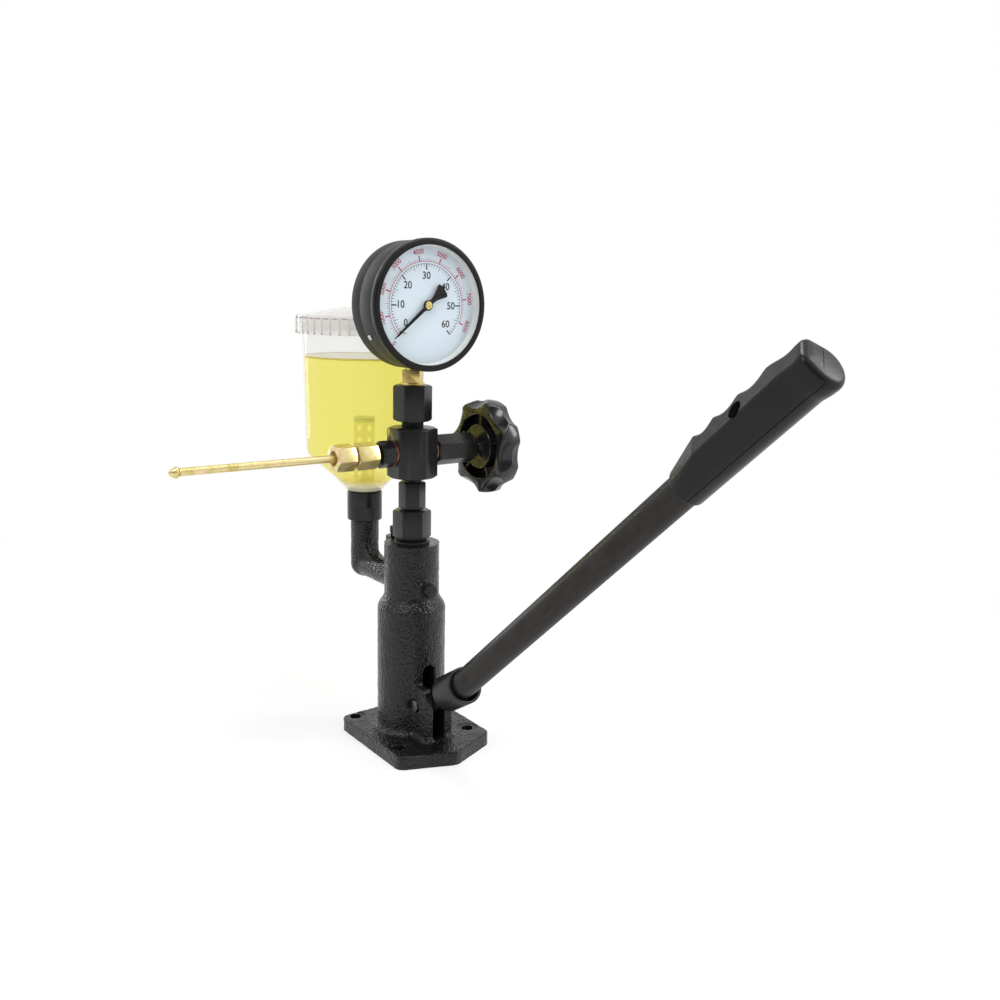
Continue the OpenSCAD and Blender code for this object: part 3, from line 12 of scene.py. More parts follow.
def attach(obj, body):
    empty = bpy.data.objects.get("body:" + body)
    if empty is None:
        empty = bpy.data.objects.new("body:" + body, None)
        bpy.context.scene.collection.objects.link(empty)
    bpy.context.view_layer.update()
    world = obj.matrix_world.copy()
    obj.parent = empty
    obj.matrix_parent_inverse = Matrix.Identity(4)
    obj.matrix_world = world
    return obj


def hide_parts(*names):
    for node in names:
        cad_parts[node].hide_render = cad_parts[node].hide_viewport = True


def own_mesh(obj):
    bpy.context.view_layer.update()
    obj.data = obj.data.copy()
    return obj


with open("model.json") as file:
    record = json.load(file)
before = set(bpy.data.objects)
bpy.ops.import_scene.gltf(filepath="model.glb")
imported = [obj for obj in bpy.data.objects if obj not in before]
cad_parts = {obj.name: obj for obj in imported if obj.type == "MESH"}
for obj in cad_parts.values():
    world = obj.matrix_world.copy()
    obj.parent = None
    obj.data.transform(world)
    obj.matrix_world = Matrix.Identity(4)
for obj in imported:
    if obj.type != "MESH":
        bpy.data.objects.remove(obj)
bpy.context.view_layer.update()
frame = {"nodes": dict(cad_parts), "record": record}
nodes = frame["nodes"]
record = frame["record"]
slot_of = {part["node"]: part["material_slot"] for part in record["subparts"]}
body_of = {node: body for body, members in record["behaviour"]["bodies"].items() for node in members}
MM = 0.001
MERGE = 0.002 * MM


# Node arithmetic, for looks and for geometry trees


class Wire:
    """A socket that takes plain arithmetic, so a formula of nodes reads like a sum."""

    def __init__(self, tree, socket):
        self.tree = tree
        self.socket = socket

    def node(self, kind, output, inputs, **settings):
        """Any other node of the same tree, with its inputs by name or number."""
        return add_node(self.tree, kind, output, inputs, **settings)

    def math(self, operation, first, second=0.0):
        """A Math node on two values."""
        return self.node("ShaderNodeMath", 0, {0: first, 1: second}, operation=operation)

    def __add__(self, other):
        return self.math("ADD", self, other)

    __radd__ = __add__

    def __mul__(self, other):
        return self.math("MULTIPLY", self, other)

    __rmul__ = __mul__

    def __sub__(self, other):
        return self.math("SUBTRACT", self, other)

    def __rsub__(self, other):
        return self.math("SUBTRACT", other, self)

    def __pow__(self, other):
        return self.math("POWER", self, other)

    def span(self, low, high):
        """0 below low, 1 above high and smooth between."""
        ends = {"Value": self, "From Min": low, "From Max": high}
        return self.node("ShaderNodeMapRange", "Result", ends, interpolation_type="SMOOTHSTEP")

    def mix(self, first, second):
        """The colour first where this is 0, and second where it is 1."""
        return self.node("ShaderNodeMix", 2, {0: self, 6: first, 7: second}, data_type="RGBA")


def add_node(tree, kind, output, inputs, **settings):
    """A new node with its settings and inputs, as the Wire of one of its outputs."""
    made = tree.nodes.new(kind)
    for key, value in settings.items():
        setattr(made, key, value)
    for key, value in inputs.items():
        plug(tree, made.inputs[key], value)
    return Wire(tree, made.outputs[output])


def plug(tree, socket, value):
    """Links a Wire to a socket, or sets the socket's own value."""
    if isinstance(value, Wire):
        tree.links.new(value.socket, socket)
    elif socket.type == "RGBA" and len(value) == 3:
        socket.default_value = (*value, 1)
    else:
        socket.default_value = value


class Look:
    """A material with a Principled surface, whose patterns follow Object coordinates."""

    def __init__(self, name, **values):
        self.material = bpy.data.materials.new(name)
        self.material.use_nodes = True
        self.tree = self.material.node_tree
        self.surface = self.tree.nodes["Principled BSDF"]
        self.place = add_node(self.tree, "ShaderNodeTexCoord", "Object", {})
        self.set(**values)

    def set(self, **values):
        """Sets the surface's inputs: base_color means Base Color."""
        for key, value in values.items():
            name = key.replace("_", " ").title().replace("Ior", "IOR")
            plug(self.tree, self.surface.inputs[name], value)

    def stretched(self, x, y, z):
        """Object coordinates scaled on each axis."""
        inputs = {0: self.place, 1: (x, y, z)}
        return self.place.node("ShaderNodeVectorMath", 0, inputs, operation="MULTIPLY")

    def noise(self, scale, detail=3, at=None):
        """Soft noise from 0 to 1, at Object coordinates or at others."""
        inputs = {"Vector": at or self.place, "Scale": scale, "Detail": detail}
        return self.place.node("ShaderNodeTexNoise", "Fac", inputs)

    def cells(self, scale):
        """Rounded grains."""
        inputs = {"Vector": self.place, "Scale": scale}
        return self.place.node("ShaderNodeTexVoronoi", "Distance", inputs, feature="SMOOTH_F1")

    def bump(self, height, distance):
        """Relief on the surface, its distance in metres."""
        inputs = {"Height": height, "Distance": distance}
        self.set(normal=self.place.node("ShaderNodeBump", "Normal", inputs))

    def show(self, shader):
        """Puts another shader on the surface."""
        self.tree.links.new(shader.socket, self.tree.nodes["Material Output"].inputs["Surface"])


# Finishes


def cast_paint():
    """Black gloss paint over the pebbled skin of a sand casting, with drips and dull patches."""
    look = Look("cast_paint", specular_ior_level=0.35)
    pebble = look.noise(420, 2)
    grain = look.cells(640)
    patch = look.noise(45, 3)
    fleck = look.noise(1500, 2).span(0.62, 0.8)
    coat = patch.mix((0.004, 0.004, 0.0042), (0.01, 0.01, 0.0105))
    look.set(base_color=fleck.mix(coat, (0.016, 0.016, 0.017)))
    look.set(roughness=0.08 + 0.14 * patch.span(0.4, 0.65) + 0.06 * pebble)
    look.bump(pebble + 0.8 * grain, 0.0008)
    return look.material


def machined_face():
    """A turned iron face with the remains of a film of black paint."""
    look = Look("machined_face", metallic=0.7)
    film = look.noise(160, 3).span(0.62, 0.8)
    look.set(base_color=film.mix((0.68, 0.68, 0.685), (0.25, 0.25, 0.255)))
    look.set(roughness=0.3 + 0.2 * look.noise(400, 2))
    look.bump(look.noise(900, 2), 0.00005)
    return look.material


def black_oxide():
    """Satin black oxide over machined bar, with faint handling marks."""
    dark = (0.0065, 0.0065, 0.0065)
    light = (0.0135, 0.013, 0.0125)
    look = Look("black_oxide", specular_ior_level=0.3)
    smear = look.noise(70, 4)
    rub = look.noise(16, 3, at=look.stretched(9, 9, 1)).span(0.62, 0.8)
    speck = look.noise(1300, 2).span(0.72, 0.8)
    tone = smear.mix(dark, light)
    worn = rub.mix(tone, tuple(2.1 * c + 0.004 for c in light))
    look.set(base_color=speck.mix(worn, (0.05, 0.047, 0.045)))
    look.set(roughness=0.2 + 0.16 * smear)
    look.bump(look.noise(1100, 3), 0.00006)
    return look.material


def edge_wear_and_highlight():
    """Bright steel in patches on an edge: the oxide rubbed through, and a painted edge highlight."""
    look = Look("edge_wear_and_highlight", metallic=0.6)
    # patches of bright steel: rubbed oxide, and a painted highlight along the edge
    wear_and_highlight = look.noise(140, 4).span(0.34, 0.56)
    look.set(base_color=wear_and_highlight.mix((0.03, 0.029, 0.028), (0.55, 0.535, 0.52)))
    look.set(roughness=0.3 + 0.2 * wear_and_highlight)
    return look.material


def painted_bore_shade():
    """Painted shade in the bore of a nut, over dull, oily metal."""
    look = Look("painted_bore_shade", metallic=0.3)
    look.set(base_color=look.noise(300, 3).mix((0.02, 0.016, 0.01), (0.06, 0.05, 0.03)))
    look.set(roughness=0.5 + 0.2 * look.noise(500, 2))
    return look.material


def filter_mesh():
    """The pale mesh of the inlet filter, with a green band round its top."""
    look = Look("filter_mesh", roughness=0.7, specular_ior_level=0.1)
    thin = look.place.node("ShaderNodeBsdfTransparent", 0, {"Color": (0.98, 0.97, 0.9)})
    height = look.place.node("ShaderNodeSeparateXYZ", "Z", {0: look.place})
    mesh = look.noise(900, 2).mix((0.8, 0.76, 0.5), (0.88, 0.85, 0.62))
    band = height.span(*FILTER_BAND)
    look.set(base_color=(0.5 * band).mix(mesh, (0.3, 0.5, 0.3)))
    woven = Wire(look.tree, look.surface.outputs["BSDF"])
    look.show(look.place.node("ShaderNodeMixShader", 0, {0: 0.09 + 0.2 * band, 1: thin, 2: woven}))
    return look.material


def plated(name, low, high, tint, roughness, metallic):
    """Bright metal whose colour drifts over the part."""
    look = Look(name, metallic=metallic)
    drift = look.noise(85, 2)
    tone = drift.span(0.35, 0.65).mix(low, high)
    look.set(base_color=look.noise(120, 3).span(0.52, 0.7).mix(tone, tint))
    look.set(roughness=roughness + 0.08 * look.noise(600, 3))
    look.bump(look.noise(1500, 2), 0.000006)
    return look.material


def coated(name, low, high, roughness, spread, scale, relief, specular):
    """A dull or glossy coat with a slow change of colour and a fine relief."""
    look = Look(name, specular_ior_level=specular)
    patch = look.noise(scale, 3)
    look.set(base_color=patch.mix(low, high))
    look.set(roughness=roughness + spread * look.noise(scale * 3, 2))
    look.bump(look.noise(scale * 12, 2), relief)
    return look.material


def drawn_tube():
    """Brownish black steel tube with long rubbed streaks and specks of dust."""
    look = Look("tube_steel", specular_ior_level=0.24)
    streak = look.noise(60, 4, at=look.stretched(8, 0.7, 0.7))
    speck = look.noise(1100, 2).span(0.73, 0.8)
    tone = streak.span(0.3, 0.75).mix((0.012, 0.0105, 0.0095), (0.023, 0.0205, 0.0185))
    look.set(base_color=speck.mix(tone, (0.1, 0.095, 0.09)))
    look.set(roughness=0.26 + 0.16 * streak)
    look.bump(look.noise(900, 3), 0.000014)
    return look.material


def see_through(name, tint, body, share, gloss, marks=()):
    """A clear wall that mirrors at its limb, milkier between the heights of each mark."""
    look = Look(name, base_color=tint)
    facing = look.place.node("ShaderNodeLayerWeight", "Facing", {"Blend": 0.35})
    cloud = look.noise(55, 3)
    milkiness = share * (0.8 + 0.4 * cloud) + 0.3 * facing ** 6.0
    for low, high, fade, extra in marks:
        height = look.place.node("ShaderNodeSeparateXYZ", "Z", {0: look.place})
        milkiness = milkiness + extra * (height.span(low - fade, low) - height.span(high, high + fade))
    thin = look.place.node("ShaderNodeBsdfTransparent", 0, {"Color": tint})
    milk = look.place.node("ShaderNodeBsdfDiffuse", 0, {"Color": body})
    polish = {"Color": (1, 1, 1), "Roughness": 0.03 + 0.04 * cloud}
    shine = look.place.node("ShaderNodeBsdfGlossy", 0, polish)
    wall = look.place.node("ShaderNodeMixShader", 0, {0: milkiness, 1: thin, 2: milk})
    look.show(look.place.node("ShaderNodeMixShader", 0, {0: gloss * facing ** 2.0, 1: wall, 2: shine}))
    return look.material


# Heights in metres: the filter's band, and marks (low, high, fade, share) where a clear wall turns milky
FILTER_BAND = (0.2572, 0.2578)
CUP_FOOT = [(0.18, 0.203, 0.008, 0.42)]
RIB_ENDS = [(0.3325, 0.3342, 0.0006, 0.5)]

# Metals: two colours, a tint in patches, roughness, metallic
METALS = {
    "bright_steel": ((0.5, 0.5, 0.51), (0.62, 0.62, 0.62), (0.4, 0.39, 0.38), 0.22, 1.0),
    # the dark steel also darkens the grip's screw as painted shade at the bottom of its hole
    "worn_steel_and_hole_shade": ((0.07, 0.07, 0.07), (0.13, 0.13, 0.13), (0.2, 0.2, 0.2), 0.4, 1.0),
    "copper": ((0.3, 0.12, 0.085), (0.4, 0.17, 0.13), (0.22, 0.09, 0.07), 0.28, 1.0),
    "yellow_zinc": ((0.6, 0.49, 0.17), (0.8, 0.67, 0.33), (0.86, 0.61, 0.4), 0.17, 0.72),
    "brass": ((0.64, 0.49, 0.15), (0.77, 0.61, 0.24), (0.58, 0.43, 0.14), 0.24, 1.0),
}
# Coats: two colours, roughness and its spread, scale of the pattern, relief in metres, specular level
COATS = {
    "arm_paint": ((0.008, 0.008, 0.0082), (0.014, 0.014, 0.0145), 0.28, 0.16, 70, 0.00008, 0.4),
    "seal_rubber": ((0.012, 0.012, 0.012), (0.02, 0.02, 0.02), 0.5, 0.2, 120, 0.0001, 0.3),
    "knob_plastic": ((0.009, 0.009, 0.009), (0.013, 0.013, 0.0133), 0.14, 0.1, 60, 0.00001, 0.5),
    "grip_vinyl": ((0.0075, 0.0075, 0.0078), (0.011, 0.011, 0.0114), 0.24, 0.12, 70, 0.00004, 0.2),
    "case_paint": ((0.014, 0.014, 0.0145), (0.02, 0.0195, 0.02), 0.46, 0.1, 90, 0.00004, 0.27),
    "bezel_paint": ((0.004, 0.004, 0.004), (0.008, 0.008, 0.008), 0.33, 0.1, 90, 0.00003, 0.22),
    "dial_face": ((0.64, 0.7, 0.765), (0.67, 0.73, 0.795), 0.5, 0.1, 30, 0.00001, 0.2),
    "dial_surround": ((0.62, 0.63, 0.61), (0.7, 0.7, 0.69), 0.4, 0.15, 80, 0.00004, 0.3),
    "black_ink": ((0.012, 0.012, 0.014), (0.02, 0.02, 0.022), 0.5, 0.1, 200, 0.00001, 0.2),
    "red_ink": ((0.4, 0.03, 0.07), (0.46, 0.045, 0.09), 0.5, 0.1, 200, 0.00001, 0.2),
    "pointer_paint": ((0.006, 0.006, 0.006), (0.01, 0.01, 0.01), 0.4, 0.1, 90, 0.000003, 0.2),
}
# Clear walls: tint, colour of the milkiness and its share, share of mirror at the limb, marks
CLEAR_WALLS = {
    "clear_glass": ((0.985, 0.995, 0.995), (0.9, 0.9, 0.9), 0.0, 0.25),
    "clear_cup": ((0.968, 0.968, 0.966), (0.93, 0.88, 0.7), 0.03, 0.12, CUP_FOOT),
    "lid_plastic": ((0.965, 0.96, 0.96), (0.77, 0.755, 0.735), 0.38, 0.5),
    "rib_plastic": ((0.96, 0.955, 0.95), (0.5, 0.42, 0.41), 0.1, 0.4, RIB_ENDS),
    # dark dashes between the lid's ribs: painted shade at the top edge of each panel
    "panel_shade_plastic": ((0.9, 0.87, 0.86), (0.33, 0.25, 0.25), 0.6, 0.3),
    "oil_yellow": ((0.995, 0.96, 0.44), (0.85, 0.75, 0.16), 0.05, 0.1),
    # the oil's top: a pale milky sheet, a painted reflection of the bright surroundings
    "oil_top_reflection": ((0.97, 0.95, 0.86), (0.84, 0.81, 0.68), 0.8, 0.5),
    # a darker band round the meniscus: painted shade
    "meniscus_shade": ((0.85, 0.74, 0.2), (0.5, 0.4, 0.04), 0.4, 0.1),
}
looks = {
    "cast_paint": cast_paint(),
    "machined_face": machined_face(),
    "black_oxide": black_oxide(),
    "edge_wear_and_highlight": edge_wear_and_highlight(),
    "painted_bore_shade": painted_bore_shade(),
    "filter_steel": filter_mesh(),
    "tube_steel": drawn_tube(),
}
for make, recipes in ((plated, METALS), (coated, COATS), (see_through, CLEAR_WALLS)):
    for name, recipe in recipes.items():
        looks[name] = make(name, *recipe)

for part, slot in slot_of.items():
    mesh = nodes[part].data
    mesh.materials.clear()
    mesh.materials.append(looks[slot])


# Mesh tools


def keep(name, mesh, *materials):
    """An object for a mesh that is already in place."""
    made = bpy.data.objects.new(name, mesh)
    mesh.materials.clear()
    for material in materials:
        mesh.materials.append(material)
    bpy.context.scene.collection.objects.link(made)
    return made


def smooth(mesh, angle):
    """Smooth shading, with edges over the angle, in degrees, left crisp."""
    mesh.shade_smooth()
    mesh.set_sharp_from_angle(angle=math.radians(angle))


def settle(piece, body, slot, *replaced, angle=32):
    """Shades a finished piece and hands it to its body."""
    smooth(piece.data, angle)
    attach(piece, body)
    if replaced:
        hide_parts(*replaced)


def evaluated(piece):
    """The piece's mesh with its modifiers worked in."""
    graph = bpy.context.evaluated_depsgraph_get()
    mesh = bpy.data.meshes.new_from_object(piece.evaluated_get(graph))
    piece.modifiers.clear()
    return mesh


def mesh_from(name, points, faces, place=None):
    """A mesh from points in millimetres, moved by a matrix in millimetres, with its faces outwards."""
    points = np.asarray(points, float).reshape(-1, 3)
    if place is not None:
        turn = np.array(place.to_3x3())
        points = points @ turn.T + np.array(place.translation)
    mesh = bpy.data.meshes.new(name)
    mesh.from_pydata((points * MM).tolist(), [], faces)
    work = bmesh.new()
    work.from_mesh(mesh)
    bmesh.ops.remove_doubles(work, verts=work.verts, dist=0.001 * MM)
    bmesh.ops.recalc_face_normals(work, faces=work.faces)
    work.to_mesh(mesh)
    work.free()
    return mesh


def skin(rings, loop=False):
    """Points and faces of a closed skin over rings of points. A loop joins the last ring to the first."""
    rings = np.asarray(rings, float)
    count, around = rings.shape[:2]
    faces = []
    for i in range(count if loop else count - 1):
        here = i * around
        there = (i + 1) % count * around
        for k in range(around):
            after = (k + 1) % around
            faces.append((here + k, here + after, there + after, there + k))
    if not loop:
        faces.append(tuple(range(around)))
        faces.append(tuple(range((count - 1) * around, count * around)))
    return rings.reshape(-1, 3), faces


def rounded(corners, steps=5):
    """An outline through corners (x, y, radius), each rounded by its radius."""
    outline = []
    for i, (x, y, radius) in enumerate(corners):
        here = np.array((x, y), float)
        if radius == 0:
            outline.append(here)
            continue
        before = np.array(corners[i - 1][:2]) - here
        after = np.array(corners[(i + 1) % len(corners)][:2]) - here
        before = before / np.linalg.norm(before)
        after = after / np.linalg.norm(after)
        half = math.acos(np.clip(before @ after, -1, 1)) / 2
        middle = before + after
        centre = here + middle / np.linalg.norm(middle) * radius / math.sin(half)
        start = here + before * radius / math.tan(half) - centre
        end = here + after * radius / math.tan(half) - centre
        sweep = math.pi - 2 * half
        for k in range(steps + 1):
            t = k / steps
            swung = start * math.sin((1 - t) * sweep) + end * math.sin(t * sweep)
            outline.append(centre + swung / math.sin(sweep))
    return np.array(outline)


def turned(name, corners, place, around=128, loop=True):
    """A turned mesh from rounded corners (radius, height, rounding) round the Z axis of a place."""
    profile = rounded(corners)
    angles = np.linspace(0, 2 * math.pi, around, endpoint=False)
    rings = [np.stack([r * np.cos(angles), r * np.sin(angles), np.full(around, z)], 1) for r, z in profile]
    return mesh_from(name, *skin(rings, loop), place)


def slab(size, place):
    """A plain block for cutting or adding, centred on a place."""
    corners = [(x, y, z) for x in (-0.5, 0.5) for y in (-0.5, 0.5) for z in (-0.5, 0.5)]
    faces = [(0, 1, 3, 2), (4, 6, 7, 5), (0, 4, 5, 1), (2, 3, 7, 6), (0, 2, 6, 4), (1, 5, 7, 3)]
    return mesh_from("slab", np.array(corners) * size, faces, place)


def bar(radius, low, high, place, around=64):
    """A round bar for cutting."""
    return turned("bar", [(radius, low, 0), (radius, high, 0)], place, around, loop=False)


def carve(mesh, cutters, material=None):
    """The mesh with each cutter taken out of it. Cut faces take the cutter's material."""
    body = keep("carved", mesh, *mesh.materials)
    helpers = []
    for cutter in cutters:
        tool = keep("cutter", cutter, material or mesh.materials[0])
        helpers.append(tool)
        step = body.modifiers.new("cut", "BOOLEAN")
        step.operation = "DIFFERENCE"
        step.solver = "MANIFOLD"
        step.material_mode = "TRANSFER"
        step.object = tool
    result = evaluated(body)
    for helper in [body, *helpers]:
        bpy.data.objects.remove(helper)
    return result


def softened(source, width, angle=28, edge_material=-1):
    """A copy of a mesh with its sharp edges rounded by a width in millimetres. -1 keeps their material."""
    work = bmesh.new()
    work.from_mesh(source)
    bmesh.ops.remove_doubles(work, verts=work.verts, dist=MERGE)
    bmesh.ops.dissolve_limit(work, angle_limit=math.radians(0.6), verts=work.verts, edges=work.edges)
    sharp = [e for e in work.edges if e.is_manifold and e.calc_face_angle() > math.radians(angle)]
    bmesh.ops.bevel(work, geom=sharp, offset=width * MM, offset_type="OFFSET", segments=2, profile=0.5,
                    affect="EDGES", clamp_overlap=True, material=edge_material)
    mesh = bpy.data.meshes.new("softened")
    work.to_mesh(mesh)
    work.free()
    return mesh


def along(place, turns):
    """A matrix in millimetres: a place, then turns (axis, degrees) in order."""
    matrix = Matrix.Translation(place)
    for axis, degrees in turns:
        matrix = matrix @ Matrix.Rotation(math.radians(degrees), 4, axis)
    return matrix


# Frames of the object, in millimetres

CROSS_H = 242.2
PIN_AT = (0, -26.5, 37.5)
SOCKET_TURN = 58
SOCKET_L = 48
BEND_R = 80
BEND_TURN = 9.7
BEND = math.radians(BEND_TURN)
BEND_END = (0, BEND_R * (1 - math.cos(BEND)), SOCKET_L + BEND_R * math.sin(BEND))
GRIP_START = 288
GRIP_TURN = 53
COLUMN = along((0, 0, 0), [])
CUP = along((0, 78, 0), [])
VALVE = along((0, 0, CROSS_H), [("Y", 90)])
GAUGE = along((0, 0, 358), [("X", 90)])
SOCKET = along(PIN_AT, [("X", SOCKET_TURN)])
TUBE = SOCKET @ along(BEND_END, [("X", -BEND_TURN)])
GRIP = TUBE @ along((0, 0, GRIP_START), [("Z", GRIP_TURN)])


# Casting

COLUMN_TOP = 168
ARM_Y = 40
SPARE = 2
SKIN_STEP = 0.95
PEBBLE_SIZE, PEBBLE_RELIEF = 2.7, 0.2
WAVE_SIZE, WAVE_RELIEF = 11, 0.25
SCREW_H = 133
# Bores (radius, low, high) and the lever's slot (x, z, rounding)
COLUMN_BORES = [(10.5, 12, 93), (11.6, 92, 151), (12, 150, 175)]
PIN_BORES = [(5.1, -30, 30), (8.1, 12.8, 30)]
SCREW_SEAT = (8.6, 23.5, 40)
BOLT_BORES = [(4.5, -5, 20), (8.5, 10.5, 17)]
BOLTS = [(x, y, 0) for x in (-33, 33) for y in (-36, 36)]
LEVER_SLOT = [(-5.25, 12, 0), (5.25, 12, 0), (5.25, 69.5, 5.2), (-5.25, 69.5, 5.2)]


def rough_skin():
    """The pump body's mesh under a pebbled skin, standing past its two flat faces."""
    work = bmesh.new()
    work.from_mesh(nodes["pump_body"].data)
    bmesh.ops.remove_doubles(work, verts=work.verts, dist=MERGE)
    for vert in work.verts:
        if vert.co.z > (COLUMN_TOP - 1.5) * MM and vert.co.y < ARM_Y * MM:
            vert.co.z += SPARE * MM
        elif vert.co.z < 0.5 * MM:
            vert.co.z -= SPARE * MM
    mesh = bpy.data.meshes.new("casting")
    work.to_mesh(mesh)
    rough = keep("rough", mesh, looks["cast_paint"])
    step = rough.modifiers.new("skin", "REMESH")
    step.mode = "VOXEL"
    step.voxel_size = SKIN_STEP * MM
    mesh = evaluated(rough)
    bpy.data.objects.remove(rough)
    work.clear()
    work.from_mesh(mesh)
    every_axis = {"use_axis_x": True, "use_axis_y": True, "use_axis_z": True}
    for _ in range(2):
        bmesh.ops.smooth_vert(work, verts=work.verts, factor=0.5, **every_axis)
    work.normal_update()
    moves = []
    for vert in work.verts:
        pebble = noise.noise(vert.co / (PEBBLE_SIZE * MM))
        wave = noise.noise(vert.co / (WAVE_SIZE * MM))
        moves.append(vert.normal * (PEBBLE_RELIEF * pebble + WAVE_RELIEF * wave) * MM)
    for vert, move in zip(work.verts, moves):
        vert.co += move
    work.to_mesh(mesh)
    work.free()
    return mesh


def casting():
    """The pump body, whose bores, seats and flat faces are cut again into its rough skin."""
    mesh = rough_skin()
    mesh.materials.clear()
    mesh.materials.append(looks["cast_paint"])
    mesh.materials.append(looks["machined_face"])
    screw = along((0, 0, SCREW_H), [("X", 90)])
    pin = along(PIN_AT, [("Y", 90)])
    outline = rounded(LEVER_SLOT, 12)
    walls = [np.column_stack([outline[:, 0], np.full(len(outline), y), outline[:, 1]]) for y in (0, -60)]
    cutters = [bar(*bore, COLUMN) for bore in COLUMN_BORES]
    cutters.append(mesh_from("slot", *skin(walls)))
    cutters += [bar(*bore, pin) for bore in PIN_BORES]
    cutters.append(bar(*SCREW_SEAT, screw))
    cutters.append(slab((200, 260, 20), along((0, 0, -10), [])))
    for bolt in BOLTS:
        cutters += [bar(*bore, along(bolt, [])) for bore in BOLT_BORES]
    mesh = carve(mesh, cutters)
    above = slab((80, 70, 20), along((0, 5, COLUMN_TOP + 10), []))
    mesh = carve(mesh, [above], looks["machined_face"])
    piece = keep("cast_pump_body", mesh, *list(mesh.materials))
    settle(piece, "body", "cast_paint", "pump_body", angle=45)


casting()


# Turned and milled pieces, by the width in millimetres of their softened edges

SOFT_EDGES = {
    0.45: ["delivery_holder", "coupling_nipple", "cross_block", "valve_bonnet", "gauge_coupling",
           "outlet_union"],
    0.35: ["cup_adapter"],
    0.3: ["gauge_case", "gauge_back", "lever_pin"],
    0.2: ["pipe_nut", "injector_nut", "barrel_lock_screw", "bleed_screw", "gauge_socket", "knob_screw",
          "injector_pipe", "lever_tube", "gauge_bezel"],
    0.12: ["lock_screw_washer", "outlet_washer", "valve_washer", "case_screws", "pin_clip", "holder_ring",
           "grip_screw", "cup_seal", "stop_pin", "valve_stem"],
    0.5: ["lever_arm"],
}
# These pieces' softened edges take bright steel in patches: rubbed oxide, and a painted edge highlight
EDGE_WEAR_AND_HIGHLIGHT = SOFT_EDGES[0.45]
NUTS = ["pipe_nut", "injector_nut"]
# The grip's screw, bright steel at the bottom of its hole, takes dark steel as painted shade
OWN_LOOKS = {"lever_arm": "arm_paint", "holder_ring": "arm_paint", "lever_pin": "worn_steel_and_hole_shade",
             "grip_screw": "worn_steel_and_hole_shade", "barrel_lock_screw": "black_oxide"}
NUT_AXIS = Vector((0, 0, CROSS_H * MM))
NUT_TURN = math.radians(-21)
NUT_BORE = 8.6 * MM


def turn_nut(mesh):
    """Turns a nut of the outlet about the pipe to the way its flats lie."""
    turn = Matrix.Rotation(NUT_TURN, 4, "X")
    mesh.transform(Matrix.Translation(NUT_AXIS) @ turn @ Matrix.Translation(-NUT_AXIS))


def mark_bore_shade(mesh):
    """Gives the faces of a nut's bore material 1, its painted shade."""
    for face in mesh.polygons:
        from_axis = (face.center - NUT_AXIS) * Vector((0, 1, 1))
        if from_axis.length < NUT_BORE and from_axis.dot(face.normal) < 0:
            face.material_index = 1


for width, names in SOFT_EDGES.items():
    for node in names:
        coats = [looks[OWN_LOOKS.get(node, slot_of[node])]]
        # their softened edges take the bright steel of rubbed oxide and painted edge highlight
        if node in EDGE_WEAR_AND_HIGHLIGHT:
            mesh = softened(nodes[node].data, width, edge_material=1)
            coats.append(looks["edge_wear_and_highlight"])
        else:
            mesh = softened(nodes[node].data, width)
        # a nut's bore takes painted shade
        if node in NUTS:
            turn_nut(mesh)
            mark_bore_shade(mesh)
            coats.append(looks["painted_bore_shade"])
        piece = keep(node + "_edged", mesh, *coats)
        settle(piece, body_of[node], slot_of[node], node)


# Springs, made smooth skins; their upper ends stay fixed as the plunger and the valve rise

SPRINGS = {
    "plunger_spring": ("plunger_lift", 92.0, 13.0),
    "delivery_spring": ("delivery_valve_lift", 170.0, 1.5),
}


def spring(node):
    """A spring's wire, made one smooth skin."""
    work = bmesh.new()
    work.from_mesh(nodes[node].data)
    bmesh.ops.remove_doubles(work, verts=work.verts, dist=MERGE)
    mesh = bpy.data.meshes.new(node)
    work.to_mesh(mesh)
    work.free()
    piece = keep(node + "_coils", mesh, looks[slot_of[node]])
    settle(piece, "body", slot_of[node], node, angle=50)
    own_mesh(piece)


for node, (joint, top, stroke) in SPRINGS.items():
    spring(node)


# Grip

GRIP_R = 12.5
GRIP_L = 114
TUBE_HOLE_R, TUBE_HOLE_L = 10.75, 106
SCREW_HOLE_R, SCREW_HOLE_AT = 5, 63
FIRST_FINGER = 26.2
FINGERS = [(18.0, 3.4), (20.8, 3.4), (22.6, 3.4), (20.4, 1.5)]
FINGER_TURN = math.radians(40)
FINGER_WAY = np.array([math.cos(FINGER_TURN), math.sin(FINGER_TURN)])
HOLLOW_EASE = 1.3
END_START, END_L = 90, 18
END_DROP = 3.0
END_ROUND = 0.22
SEAM_DEPTH = 0.45
FLARE_START, FLARE_L, FLARE = 97, 10, 1.2
# The section wraps circles (x, y, radius), the last of them under the fingers
SECTION = np.array([(0, 0, GRIP_R), (-2.6, 11.6, 4.4), (9, 13, 3)])
RIDGE = SECTION[2, :2] @ FINGER_WAY + SECTION[2, 2] + 0.3


def grip_radius(full, swell, directions):
    """Radius in each direction of a section between a round ring, full 0, and the flat-faced one, full 1."""
    normals = np.radians(np.arange(0, 360, 2))
    ways = np.stack([np.cos(normals), np.sin(normals)], 1)
    reach = ways @ SECTION[:, :2].T + SECTION[:, 2]
    best = SECTION[np.argmax(reach, 1)]
    lip = np.where(swell > 0, (1 - np.cos(normals - FINGER_TURN)) / 2, 1)[:, None]
    points = full * (best[:, :2] + best[:, 2:] * ways) + (1 - full) * GRIP_R * ways + swell * lip * ways
    steps = np.linspace(0, 1, 24, endpoint=False)[:, None]
    dense = np.concatenate([a + (b - a) * steps for a, b in zip(points, np.roll(points, -1, 0))])
    angles = np.unwrap(np.arctan2(dense[:, 1], dense[:, 0])) % (2 * math.pi)
    order = np.argsort(angles)
    return np.interp(directions, angles[order], np.hypot(*dense[order].T), period=2 * math.pi)


def hollow_depth(z):
    """Depth at a distance from the grip's start, over finger hollows (width, depth) in a row."""
    start = FIRST_FINGER
    for width, depth in FINGERS:
        if start < z < start + width:
            return depth * math.sin(math.pi * (z - start) / width) ** 0.95
        start += width
    return 0.0


